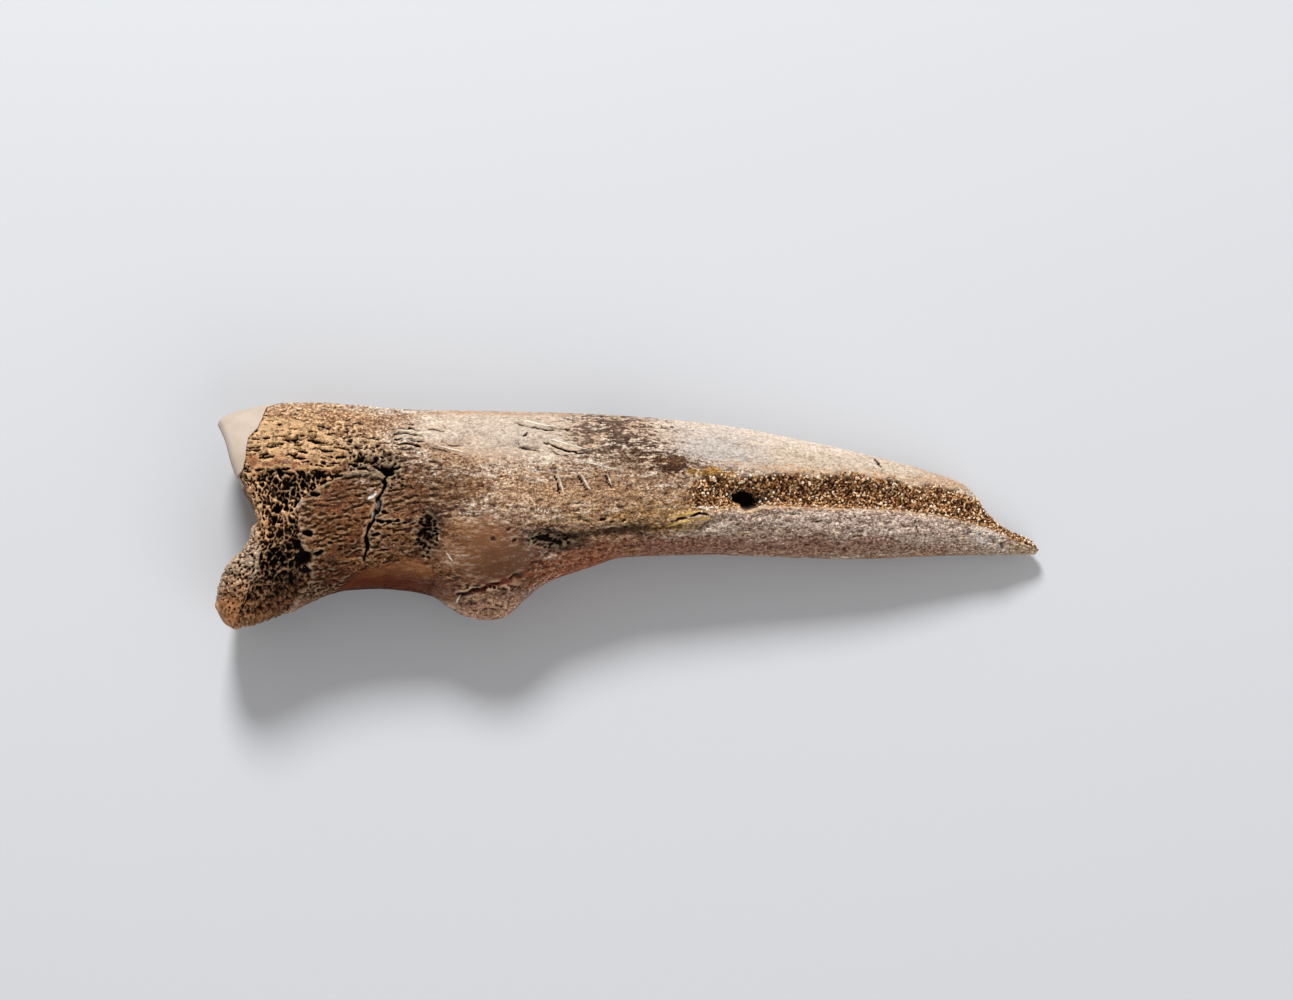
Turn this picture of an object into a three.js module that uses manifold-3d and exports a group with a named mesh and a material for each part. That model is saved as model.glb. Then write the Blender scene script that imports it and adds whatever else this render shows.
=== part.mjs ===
// A fossil hand claw of an ornithomimid dinosaur, lying on its far side, in millimetres.
// X runs from the joint end to the point, Y from the flexor edge to the back edge, Z up.
// The bone is one solid, and the pale filler that rebuilds the corner of its joint end is another.
import * as THREE from "three";
import { mergeVertices } from "three/addons/utils/BufferGeometryUtils.js";
import Module from "manifold-3d";

const wasm = await Module();
wasm.setup();

// Driving dimensions. Every place below is a share of them: u along LENGTH from the joint end,
// v up DEPTH from the lowest point of the flexor edge.
const LENGTH = 62;
const DEPTH = 17.3;
const WIDTH = 10.4;

const STATIONS = 48;
const POINTS_AROUND = 40;
const FACE_COLUMNS = 6;

// Back edge and flexor edge in side view, as [u, v].
const BACK_EDGE = [
  [0, 0.9], [0.008, 0.936], [0.056, 0.984], [0.103, 1], [0.152, 0.993], [0.226, 0.968],
  [0.394, 0.955], [0.514, 0.933], [0.588, 0.911], [0.719, 0.833], [0.792, 0.776], [0.86, 0.714],
  [0.911, 0.65], [0.94, 0.521], [0.962, 0.454], [0.994, 0.399], [1, 0.37],
];
const FLEXOR_EDGE = [
  [0, 0.096], [0.014, 0.021], [0.028, 0], [0.052, 0.017], [0.076, 0.042], [0.109, 0.117],
  [0.152, 0.172], [0.19, 0.18], [0.226, 0.17], [0.261, 0.143], [0.291, 0.069], [0.313, 0.039],
  [0.354, 0.042], [0.373, 0.116], [0.397, 0.197], [0.443, 0.26], [0.499, 0.317], [0.6, 0.327],
  [0.758, 0.312], [0.894, 0.334], [1, 0.345],
];

// Half width and height of the middle above the ground, as shares of WIDTH along u. The middle
// drops towards the point, so that the claw lies on its joint end and its distal third.
const HALF_WIDTH = [
  [0, 0.4], [0.004, 0.436], [0.011, 0.46], [0.024, 0.478], [0.047, 0.488], [0.094, 0.476],
  [0.156, 0.442], [0.219, 0.418], [0.31, 0.402], [0.41, 0.385], [0.53, 0.365], [0.656, 0.332],
  [0.78, 0.284], [0.875, 0.231], [0.92, 0.19], [0.953, 0.14], [0.984, 0.085], [1, 0.04],
];
const MIDDLE_HEIGHT = [
  [0, 0.458], [0.156, 0.455], [0.31, 0.437], [0.53, 0.384], [0.72, 0.303], [0.875, 0.214],
  [0.94, 0.162], [1, 0.105],
];
const FAR_SIDE_FULLNESS = 1.03;

// Section: how square it is, and how far its flexor part is narrowed, along u.
const SQUARENESS = [[0, 3.2], [0.25, 2.9], [0.45, 2.4], [1, 2.1]];
const FLEXOR_NARROWING = [
  [0, 0.2], [0.08, 0.15], [0.2, 0.24], [0.3, 0.34], [0.337, 0.38], [0.4, 0.24], [0.5, 0.08], [1, 0.08],
];
const SECTION_ROOT = 2.15;

// Joint face: how far it is set back, as a share of LENGTH, at each height v.
const JOINT_FACE = [
  [0.096, 0], [0.143, 0.004], [0.184, 0.008], [0.231, 0.014], [0.272, 0.026], [0.306, 0.037],
  [0.339, 0.043], [0.389, 0.048], [0.44, 0.05], [0.486, 0.048], [0.561, 0.038], [0.616, 0.031],
  [0.679, 0.024], [0.786, 0.015], [0.858, 0.006], [0.9, 0],
];
const FACE_REACH = 0.2;
const COTYLE_DEPTH = 0.7;
const SIDE_DISH = { u: 0.06, v: 0.5, reachU: 0.06, reachV: 0.2, depth: 0.35 };

// Sheath groove on each side: its two edges and its depth in millimetres, along u.
const GROOVE_LOWER_EDGE = [
  [0.56, 0.55], [0.643, 0.536], [0.72, 0.541], [0.79, 0.523], [0.852, 0.514], [0.886, 0.5],
  [0.92, 0.472], [0.945, 0.441], [0.971, 0.417], [1, 0.375],
];
const GROOVE_UPPER_EDGE = [
  [0.56, 0.6], [0.611, 0.672], [0.685, 0.68], [0.753, 0.686], [0.792, 0.662], [0.826, 0.624],
  [0.894, 0.589], [0.935, 0.546], [0.96, 0.48], [1, 0.41],
];
const GROOVE_DEPTH = [
  [0.56, 0], [0.6, 0.45], [0.65, 0.95], [0.78, 1.05], [0.88, 0.85], [0.93, 0.55], [0.96, 0.3], [1, 0],
];

// Broken places on the near side. Pits are ellipsoids, long along the grain of the bone.
const GOLDEN_STEPS = [0.7548776662, 0.5698402909];
const GOLDEN_RATIO = 0.6180339887;
const PIT_WALL = 0.12;
const PIT_TURN = 0.3;
const SPONGY_PITS = {
  count: 50, u: [0.04, 0.105], v: [0.1, 0.86], radius: [0.26, 0.46], stretch: 1.2, depth: 1,
};
const STREAK_PITS = {
  count: 15, u: [0.1, 0.205], v: [0.68, 0.9], radius: [0.2, 0.3], stretch: 3, depth: 1.3,
};
const FAR_PITS = {
  count: 14, u: [0.035, 0.1], v: [0.18, 0.84], radius: [0.28, 0.48], stretch: 1.4, depth: 1,
};
const SINGLE_PITS = [
  { u: 0.093, v: 0.312, size: [0.95, 0.8, 1.4] },
  { u: 0.209, v: 0.705, size: [0.85, 0.45, 1] },
  { u: 0.261, v: 0.425, size: [0.7, 1.3, 0.8] },
  { u: 0.4, v: 0.375, size: [1, 0.3, 0.6] },
];
const FORAMEN = { u: 0.643, v: 0.578, size: [0.86, 0.62, 2.1], lean: 0.5 };
const CRACK = {
  route: [[0.209, 0.7], [0.2, 0.6], [0.202, 0.54], [0.194, 0.47], [0.186, 0.4], [0.183, 0.31]],
  width: 0.4,
  depth: 0.9,
};

// The filler takes the corner of the joint end in front of this line, as [u, v].
const BREAK_LINE = [
  [0.083, 1.06], [0.076, 0.985], [0.056, 0.944], [0.054, 0.905], [0.038, 0.82], [0.037, 0.69],
  [0.03, 0.648], [-0.05, 0.63],
];
const FILLER_GAP = 0.3;

// A smooth curve through knots, with slopes that never overshoot them.
function curveThrough(knots) {
  const rise = knots.slice(1).map(([x, y], i) => (y - knots[i][1]) / (x - knots[i][0]));
  const slopes = knots.map((_, i) => {
    const before = rise[Math.max(i - 1, 0)];
    const after = rise[Math.min(i, rise.length - 1)];
    return before * after <= 0 ? 0 : (2 * before * after) / (before + after);
  });
  return (x) => {
    if (x <= knots[0][0]) return knots[0][1];
    const i = knots.findIndex((knot) => knot[0] >= x);
    if (i < 0) return knots[knots.length - 1][1];
    const [x0, y0] = knots[i - 1];
    const [x1, y1] = knots[i];
    const span = x1 - x0;
    const s = (x - x0) / span;
    const bend = (slopes[i - 1] * (1 - s) - slopes[i] * s) * span * s * (1 - s);
    const ease = s * s * (3 - 2 * s);
    return y0 + (y1 - y0) * ease + bend;
  };
}

const backEdge = curveThrough(BACK_EDGE);
const flexorEdge = curveThrough(FLEXOR_EDGE);
const halfWidth = curveThrough(HALF_WIDTH);
const middleHeight = curveThrough(MIDDLE_HEIGHT);
const squareness = curveThrough(SQUARENESS);
const flexorNarrowing = curveThrough(FLEXOR_NARROWING);
const jointFace = curveThrough(JOINT_FACE);
const grooveLowerEdge = curveThrough(GROOVE_LOWER_EDGE);
const grooveUpperEdge = curveThrough(GROOVE_UPPER_EDGE);
const grooveDepth = curveThrough(GROOVE_DEPTH);

const clamp = THREE.MathUtils.clamp;
const smoothstep = THREE.MathUtils.smoothstep;

// How deep the sheath groove is at a place: steep on its lower edge, gentle on its upper one.
function grooveAt(u, v) {
  const lower = grooveLowerEdge(u);
  const across = (v - lower) / (grooveUpperEdge(u) - lower);
  return grooveDepth(u) * smoothstep(across, -0.06, 0.26) * (1 - smoothstep(across, 0.34, 1.08));
}

// The shallow dish on the side of the joint end, between its back and flexor corners.
function dishAt(u, v) {
  const du = (u - SIDE_DISH.u) / SIDE_DISH.reachU;
  const dv = (v - SIDE_DISH.v) / SIDE_DISH.reachV;
  return SIDE_DISH.depth * Math.exp(-du * du - dv * dv);
}

// The point of the skin at u along the claw. cosine is 1 on the back edge and -1 on the flexor
// edge, and side is 1 on the near side and -1 on the far side.
function skinPoint(u, cosine, side) {
  const back = backEdge(u);
  const flexor = flexorEdge(u);
  const v = (back + flexor) / 2 + ((back - flexor) / 2) * cosine;
  const round = (1 - Math.abs(cosine) ** squareness(u)) ** (1 / SECTION_ROOT);
  const narrowing = 1 - flexorNarrowing(u) * smoothstep(-cosine, 0.3, 1);
  const fullness = side > 0 ? 1 : FAR_SIDE_FULLNESS;
  const full = WIDTH * halfWidth(u) * round * narrowing * fullness;
  const reach = Math.max(full - (grooveAt(u, v) + dishAt(u, v)) * Math.min(full, 1), 0);
  const setBack = jointFace(v) * Math.max(1 - u / FACE_REACH, 0) ** 2;
  return new THREE.Vector3(
    (u + setBack) * LENGTH,
    v * DEPTH,
    Math.max(WIDTH * middleHeight(u) + side * reach, 0),
  );
}

// The skin straight above a place [u, v] in side view, on the near or the far side.
function skinAt(u, v, side) {
  const back = backEdge(u);
  const flexor = flexorEdge(u);
  const cosine = clamp((2 * v - back - flexor) / (back - flexor), -1, 1);
  const setBack = jointFace(v) * Math.max(1 - u / FACE_REACH, 0) ** 2;
  return skinPoint(Math.max(u - setBack, 0), cosine, side);
}

// Stations are closer together at both ends, where the outline turns.
function stationAt(i) {
  const s = i / STATIONS;
  return 0.4 * s + 0.6 * (0.5 - 0.5 * Math.cos(Math.PI * s));
}

// The whole claw before any of it was lost: rings of skin, a ladder across the joint face, and
// a fan at the point.
function wholeClaw() {
  const half = POINTS_AROUND / 2;
  const points = [];
  for (let i = 0; i < STATIONS; i++) {
    for (let j = 0; j < POINTS_AROUND; j++) {
      const cosine = Math.cos((j / half) * Math.PI);
      points.push(skinPoint(stationAt(i), cosine, j <= half ? 1 : -1));
    }
  }
  const ring = (i, j) => i * POINTS_AROUND + ((j + POINTS_AROUND) % POINTS_AROUND);
  const triangles = [];
  const quad = (a, b, c, d) => triangles.push(a, b, c, a, c, d);
  for (let i = 0; i + 1 < STATIONS; i++) {
    for (let j = 0; j < POINTS_AROUND; j++) {
      quad(ring(i, j), ring(i, j + 1), ring(i + 1, j + 1), ring(i + 1, j));
    }
  }

  const tip = points.length;
  points.push(skinPoint(1, 0, 1).setZ(WIDTH * middleHeight(1)));
  for (let j = 0; j < POINTS_AROUND; j++) {
    triangles.push(ring(STATIONS - 1, j), ring(STATIONS - 1, j + 1), tip);
  }

  // Each row of the joint face runs from the near margin to the far one, over two shallow cotyles.
  const rows = [];
  for (let j = 1; j < half; j++) {
    const near = points[ring(0, j)];
    const far = points[ring(0, -j)];
    const row = [ring(0, j)];
    for (let k = 1; k < FACE_COLUMNS; k++) {
      const point = near.clone().lerp(far, k / FACE_COLUMNS);
      const fromRidge = Math.abs((2 * k) / FACE_COLUMNS - 1);
      point.x += COTYLE_DEPTH * Math.sin(Math.PI * fromRidge) * Math.sin((j / half) * Math.PI);
      row.push(points.length);
      points.push(point);
    }
    row.push(ring(0, -j));
    rows.push(row);
  }
  for (let k = 0; k < FACE_COLUMNS; k++) {
    triangles.push(ring(0, 0), rows[0][k + 1], rows[0][k]);
    triangles.push(ring(0, half), rows[half - 2][k], rows[half - 2][k + 1]);
    for (let j = 0; j + 1 < rows.length; j++) {
      quad(rows[j][k], rows[j][k + 1], rows[j + 1][k + 1], rows[j + 1][k]);
    }
  }
  const geometry = new THREE.BufferGeometry().setFromPoints(points);
  geometry.setIndex(triangles);
  return solidOf(geometry);
}

// A closed geometry as a solid that can be joined and cut.
function solidOf(geometry) {
  const bare = geometry.clone();
  bare.deleteAttribute("normal");
  bare.deleteAttribute("uv");
  const merged = mergeVertices(bare, 1e-4);
  return new wasm.Manifold(
    new wasm.Mesh({
      numProp: 3,
      vertProperties: merged.attributes.position.array,
      triVerts: new Uint32Array(merged.index.array),
    }),
  );
}

// A solid as a geometry with faceted normals.
function geometryOf(solid) {
  const { vertProperties, triVerts } = solid.getMesh();
  const geometry = new THREE.BufferGeometry();
  geometry.setAttribute("position", new THREE.BufferAttribute(new Float32Array(vertProperties), 3));
  geometry.setIndex(new THREE.BufferAttribute(new Uint32Array(triVerts), 1));
  const faceted = geometry.toNonIndexed();
  faceted.computeVertexNormals();
  return faceted;
}

// A lump with three half sizes, centred on the skin, turned about Z and leaned towards the joint.
function pitAt(u, v, side, size, { turn = 0, lean = 0, round = true } = {}) {
  const place = skinAt(u, v, side);
  const lump = round ? new THREE.IcosahedronGeometry(1, 1) : new THREE.DodecahedronGeometry(1);
  lump.scale(...size);
  lump.rotateY(-lean);
  lump.rotateZ(turn);
  lump.translate(place.x, place.y, place.z);
  return solidOf(lump);
}

// Pits spread evenly over a patch of one side. Each is as large as its own radius or the room
// around it allows, so that a wall of bone is left between any two.
function pitField({ count, u, v, radius, stretch, depth }, side) {
  const centres = Array.from({ length: count }, (_, i) => {
    const [alongU, alongV] = GOLDEN_STEPS.map((step) => ((i + 1) * step) % 1);
    return new THREE.Vector2(THREE.MathUtils.lerp(...u, alongU), THREE.MathUtils.lerp(...v, alongV));
  });
  const apart = (a, b) => Math.hypot(((a.x - b.x) * LENGTH) / stretch, (a.y - b.y) * DEPTH);
  return centres.map((centre, i) => {
    const room = Math.min(...centres.filter((c) => c !== centre).map((c) => apart(c, centre)));
    const wanted = THREE.MathUtils.lerp(...radius, ((i + 1) * GOLDEN_RATIO) % 1);
    const size = Math.min(wanted, (room - PIT_WALL) / 2);
    const turn = PIT_TURN * Math.sin(i);
    return pitAt(centre.x, centre.y, side, [size * stretch, size, wanted * depth], { turn, round: false });
  });
}

// A thin wall along the crack's route, from under the skin to well above it.
function crackCutter() {
  const route = CRACK.route.map(([u, v]) => new THREE.Vector2(u * LENGTH, v * DEPTH));
  const halfWidths = route.map((_, i) => (i === route.length - 1 ? 0.25 : 0.5) * CRACK.width);
  const leftSide = route.map((p, i) => new THREE.Vector2(p.x - halfWidths[i], p.y));
  const rightSide = route.map((p, i) => new THREE.Vector2(p.x + halfWidths[i], p.y));
  const wall = new THREE.ExtrudeGeometry(new THREE.Shape([...leftSide, ...rightSide.reverse()]), {
    depth: WIDTH,
    bevelEnabled: false,
  });
  const middle = CRACK.route[Math.floor(CRACK.route.length / 2)];
  wall.translate(0, 0, skinAt(...middle, 1).z - CRACK.depth);
  return solidOf(wall);
}

// All that lies in front of the break line, moved by shift along X and Y.
function frontOfBreak(shift) {
  const line = BREAK_LINE.map(([u, v]) => new THREE.Vector2(u * LENGTH - shift, v * DEPTH + shift));
  const outer = new THREE.Vector2(line[line.length - 1].x, line[0].y);
  const block = new THREE.ExtrudeGeometry(new THREE.Shape([...line, outer]), {
    depth: 2 * WIDTH,
    bevelEnabled: false,
  });
  block.translate(0, 0, -WIDTH / 2);
  return solidOf(block);
}

function boneSolid(whole) {
  const cutters = [
    frontOfBreak(0),
    ...pitField(SPONGY_PITS, 1),
    ...pitField(STREAK_PITS, 1),
    ...pitField(FAR_PITS, -1),
    ...SINGLE_PITS.map(({ u, v, size }) => pitAt(u, v, 1, size)),
    pitAt(FORAMEN.u, FORAMEN.v, 1, FORAMEN.size, { lean: FORAMEN.lean }),
    pitAt(FORAMEN.u, FORAMEN.v, -1, FORAMEN.size, { lean: -FORAMEN.lean }),
    crackCutter(),
  ];
  return cutters.reduce((bone, cutter) => bone.subtract(cutter), whole);
}

function fillerSolid(whole) {
  return whole.intersect(frontOfBreak(FILLER_GAP));
}

function namedMesh(name, solid, color, roughness) {
  const material = new THREE.MeshStandardMaterial({ color, roughness, metalness: 0 });
  const mesh = new THREE.Mesh(geometryOf(solid), material);
  mesh.name = name;
  return mesh;
}

const whole = wholeClaw();
const claw = new THREE.Group();
claw.add(
  namedMesh("fossil_claw", boneSolid(whole), 0xb9a184, 0.62),
  namedMesh("restored_lip", fillerSolid(whole), 0xe2d6c2, 0.7),
);
// The origin is under the middle of the claw, on the ground.
claw.position.set(-LENGTH / 2, -DEPTH / 2, 0);

const part = new THREE.Group();
part.add(claw);

export default part;
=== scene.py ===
import itertools
import math

import bmesh
import bpy
import numpy as np
from mathutils import Matrix, Vector
from mathutils.kdtree import KDTree


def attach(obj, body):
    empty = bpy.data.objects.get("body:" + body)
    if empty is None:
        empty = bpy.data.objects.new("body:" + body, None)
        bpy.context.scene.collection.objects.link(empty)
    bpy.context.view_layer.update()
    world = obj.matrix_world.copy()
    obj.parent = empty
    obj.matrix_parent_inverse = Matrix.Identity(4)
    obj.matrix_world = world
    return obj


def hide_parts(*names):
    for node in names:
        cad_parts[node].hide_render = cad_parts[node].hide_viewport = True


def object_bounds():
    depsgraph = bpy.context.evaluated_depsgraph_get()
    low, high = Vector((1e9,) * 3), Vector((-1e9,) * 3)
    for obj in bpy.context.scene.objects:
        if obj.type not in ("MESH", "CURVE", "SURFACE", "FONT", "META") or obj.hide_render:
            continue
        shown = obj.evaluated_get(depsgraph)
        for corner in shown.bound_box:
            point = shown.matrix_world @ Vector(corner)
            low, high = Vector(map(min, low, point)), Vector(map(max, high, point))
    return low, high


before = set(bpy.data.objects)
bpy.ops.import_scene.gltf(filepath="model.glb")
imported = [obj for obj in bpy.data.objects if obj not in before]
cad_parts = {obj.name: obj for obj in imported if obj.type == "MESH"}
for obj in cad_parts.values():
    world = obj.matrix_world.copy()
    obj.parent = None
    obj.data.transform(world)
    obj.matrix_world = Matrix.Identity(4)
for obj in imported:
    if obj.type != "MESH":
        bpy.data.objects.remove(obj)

# A fossil hand claw lying on its far side. Shapes are worked out in millimetres and made in metres.
# x runs from the joint end to the point, y towards the back edge, z up.
cadLow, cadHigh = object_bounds()
mm = 0.001
length = (cadHigh.x - cadLow.x) / mm
depth = (cadHigh.y - cadLow.y) / mm
width = 1.084 * (cadHigh.z - cadLow.z) / mm  # full thickness before the far side is flattened

# Camera
view = {
    "elevation": 78,  # looks almost straight down on the claw's side
    "roll": 0.46,
    "lens": 100,
    "sensor": 36,
    "across": 97.5,  # what the picture's width covers, in mm
    "aim": (32.3, 9.9, 4.2),  # along the claw, up from its lowest point, and towards the camera
    "zero": (31.0, 7.91),  # where the joint end and the lowest point are
}


def sightAxes():
    e, r = math.radians(view["elevation"]), math.radians(view["roll"])
    right, up = np.array((1.0, 0, 0)), np.array((0, math.sin(e), math.cos(e)))
    back = np.array((0, -math.cos(e), math.sin(e)))
    return right * math.cos(r) - up * math.sin(r), up * math.cos(r) + right * math.sin(r), back


sightRight, sightUp, sightBack = sightAxes()
cameraAway = view["across"] * view["lens"] / view["sensor"]


def addCamera():
    data = bpy.data.cameras.new("camera")
    data.lens, data.sensor_width = view["lens"], view["sensor"]
    data.clip_start, data.clip_end = 0.01, 10
    camera = bpy.data.objects.new("camera", data)
    bpy.context.scene.collection.objects.link(camera)
    s, t, out = view["aim"]
    aim = (s - view["zero"][0]) * sightRight + (t - view["zero"][1]) * sightUp + out * sightBack
    turn = Matrix((sightRight, sightUp, sightBack)).transposed().to_4x4()
    camera.matrix_world = Matrix.Translation(Vector((aim + cameraAway * sightBack) * mm)) @ turn
    bpy.context.scene.camera = camera


addCamera()


# Curves and noise
def curveThrough(knots):
    x, y = np.array(knots, float).T
    rise = np.diff(y) / np.diff(x)
    before, after = np.r_[rise[0], rise], np.r_[rise, rise[-1]]
    same = before * after > 0
    slope = np.where(same, 2 * before * after / np.where(same, before + after, 1), 0)

    def value(at):
        at = np.clip(at, x[0], x[-1])
        i = np.clip(np.searchsorted(x, at) - 1, 0, len(rise) - 1)
        span = x[i + 1] - x[i]
        r = (at - x[i]) / span
        bend = (slope[i] * (1 - r) - slope[i + 1] * r) * span * r * (1 - r)
        return y[i] + (y[i + 1] - y[i]) * r * r * (3 - 2 * r) + bend

    return value


def ramp(value, low=0.0, high=1.0):
    r = np.clip((value - low) / (high - low), 0, 1)
    return r * r * (3 - 2 * r)


def hashed(cell, salt):  # a steady number from 0 to 1 for each whole-number place
    i, j, k = (cell[:, n].astype(np.uint64) for n in range(3))
    h = i * np.uint64(73856093) ^ j * np.uint64(19349663) ^ k * np.uint64(83492791)
    h = (h ^ np.uint64(salt * 40503 + 977)) & np.uint64(0xFFFFFFFF)
    for shift, factor in ((15, 2246822519), (13, 3266489917)):
        h = ((h ^ (h >> np.uint64(shift))) * np.uint64(factor)) & np.uint64(0xFFFFFFFF)
    return ((h ^ (h >> np.uint64(16))) & np.uint64(0xFFFF)) / 65535.0


def cloud(points, size, salt=0, octaves=1):  # soft noise, about -1 to 1
    total, weight = 0.0, 1.0
    for octave in range(octaves):
        p = points / np.array(size) * 2**octave + 5.3 * (salt + octave)
        base = np.floor(p).astype(np.int64)
        f = p - base
        f = f * f * (3 - 2 * f)
        value = np.zeros(len(p))
        for corner in itertools.product((0, 1), repeat=3):
            share = np.prod(np.where(corner, f, 1 - f), axis=1)
            value += share * hashed(base + np.array(corner), salt)
        total = total + weight * (2 * value - 1)
        weight *= 0.5
    return total


def cells(points, size, salt):  # distance to the nearest seed, to the next one, and the cell's own number
    p = points / np.array(size)
    base = np.floor(p).astype(np.int64)
    first, second, own = np.full(len(p), 9.0), np.full(len(p), 9.0), np.zeros(len(p))
    for corner in itertools.product((-1, 0, 1), repeat=3):
        cell = base + np.array(corner)
        seed = cell + np.stack([hashed(cell, salt + n) for n in range(3)], axis=1)
        away = np.linalg.norm(seed - p, axis=1)
        closer = away < first
        second = np.where(closer, first, np.minimum(second, away))
        own = np.where(closer, hashed(cell, salt + 3), own)
        first = np.where(closer, away, first)
    return first, second, own


# The claw's form, as the solids have it: shares of its length, depth and width
form = {
    "backEdge": [
        (0, 0.9), (0.008, 0.936), (0.056, 0.984), (0.103, 1), (0.152, 0.993), (0.226, 0.968),
        (0.394, 0.955), (0.514, 0.933), (0.588, 0.911), (0.719, 0.833), (0.792, 0.776), (0.86, 0.714),
        (0.911, 0.65), (0.94, 0.521), (0.962, 0.454), (0.994, 0.399), (1, 0.37),
    ],
    "flexorEdge": [
        (0, 0.115), (0.004, 0.066), (0.012, 0.024), (0.024, 0.003), (0.036, 0.002), (0.055, 0.022),
        (0.078, 0.052), (0.109, 0.117), (0.152, 0.172), (0.19, 0.18), (0.226, 0.17), (0.261, 0.143),
        (0.282, 0.092), (0.302, 0.054), (0.325, 0.037), (0.346, 0.045), (0.359, 0.078), (0.375, 0.132),
        (0.397, 0.197), (0.443, 0.26), (0.499, 0.317), (0.6, 0.327), (0.758, 0.312), (0.894, 0.334),
        (1, 0.345),
    ],
    "halfWidth": [
        (0, 0.4), (0.004, 0.436), (0.011, 0.46), (0.024, 0.478), (0.047, 0.488), (0.094, 0.476),
        (0.156, 0.442), (0.219, 0.418), (0.31, 0.402), (0.41, 0.385), (0.53, 0.365), (0.656, 0.332),
        (0.78, 0.284), (0.875, 0.231), (0.92, 0.19), (0.953, 0.14), (0.984, 0.085), (1, 0.04),
    ],
    "middleHeight": [
        (0, 0.458), (0.156, 0.455), (0.31, 0.437), (0.53, 0.384), (0.72, 0.303), (0.875, 0.214),
        (0.94, 0.162), (1, 0.105),
    ],
    "squareness": [(0, 3.2), (0.25, 2.9), (0.45, 2.4), (1, 2.1)],
    "flexorSquareness": [(0, 3.2), (0.08, 3.8), (0.2, 4.2), (0.3, 3.4), (0.45, 2.4), (1, 2.1)],
    "flexorNarrowing": [
        (0, 0.2), (0.08, 0.15), (0.2, 0.24), (0.3, 0.34), (0.337, 0.38), (0.4, 0.24), (0.5, 0.08),
        (1, 0.08),
    ],
    "jointFace": [
        (0.096, 0), (0.143, 0.004), (0.184, 0.008), (0.231, 0.014), (0.272, 0.026), (0.306, 0.037),
        (0.339, 0.043), (0.389, 0.048), (0.44, 0.05), (0.486, 0.048), (0.561, 0.038), (0.616, 0.031),
        (0.679, 0.024), (0.786, 0.015), (0.858, 0.006), (0.9, 0),
    ],
    "sectionRoot": 2.15,
    "faceReach": 0.2,
    "farFullness": 1.03,
    "cotyle": 0.7,  # how far each half of the joint face is hollowed
    "sideDish": (0.06, 0.5, 0.06, 0.2, 0.35),
}
lines = {name: curveThrough(knots) for name, knots in form.items() if isinstance(knots, list)}


def skin(u, cosine, side):  # the sound skin, before any of it was lost
    back, flexor = lines["backEdge"](u), lines["flexorEdge"](u)
    v = (back + flexor) / 2 + (back - flexor) / 2 * cosine
    square = np.where(cosine > 0, lines["squareness"](u), lines["flexorSquareness"](u))
    full = (1 - np.abs(cosine) ** square) ** (1 / form["sectionRoot"])
    full = full * (1 - lines["flexorNarrowing"](u) * ramp(-cosine, 0.3, 1))
    full = full * width * lines["halfWidth"](u) * np.where(side > 0, 1, form["farFullness"])
    du, dv, reachU, reachV, dish = form["sideDish"]
    dip = dish * np.exp(-(((u - du) / reachU) ** 2) - ((v - dv) / reachV) ** 2)
    reach = np.maximum(full - dip * np.minimum(full, 1), 0)
    setBack = lines["jointFace"](v) * np.maximum(1 - u / form["faceReach"], 0) ** 2
    z = width * lines["middleHeight"](u) + side * reach
    return np.stack([(u + setBack - 0.5) * length, (v - 0.5) * depth, z], axis=-1), reach


def seenAt(points):  # along the claw and up from its lowest point, as the camera sees them
    s, t, out = view["aim"]
    nearer = cameraAway / (cameraAway + out - points @ sightBack)
    along = points @ sightRight + view["zero"][0] - s
    up = points @ sightUp + view["zero"][1] - t
    return s + along * nearer, t + up * nearer


# The fine skin: a net of rings round the claw, closer together at the joint end
net = {
    "half": 250,  # columns on each side
    "faceColumns": 60,
    "spacing": [(0, 0.066), (10, 0.07), (16, 0.09), (30, 0.12), (40, 0.11), (62, 0.1)],  # mm between rings
    "triangles": 199000,
}


def stations():
    spacing = curveThrough(net["spacing"])
    places = [0.0]
    while places[-1] < length:
        places.append(places[-1] + float(spacing(places[-1])))
    return np.array(places) / places[-1]


def evenTurns(side):  # places round one side, about equally far apart
    turns = np.linspace(0, math.pi, 2000)
    points, _ = skin(0.12, np.cos(turns), side)
    gone = np.r_[0, np.cumsum(np.linalg.norm(np.diff(points, axis=0), axis=1))]
    return np.interp(np.linspace(0, gone[-1], net["half"] + 1), gone, turns)


def fineNet():
    u = stations()[:-1, None]
    near, far = evenTurns(1), evenTurns(-1)[::-1]
    cosine = np.cos(np.r_[near[:-1], far[:-1]])[None, :]
    side = np.repeat([1.0, -1.0], net["half"])[None, :]
    points, reach = skin(u, cosine, side)
    return points, np.broadcast_to(side, reach.shape), reach


def outwardNormals(points):
    along = np.gradient(points, axis=0)
    around = np.roll(points, -1, axis=1) - np.roll(points, 1, axis=1)
    normal = np.cross(around, along)
    return normal / np.maximum(np.linalg.norm(normal, axis=-1, keepdims=True), 1e-9)


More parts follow.
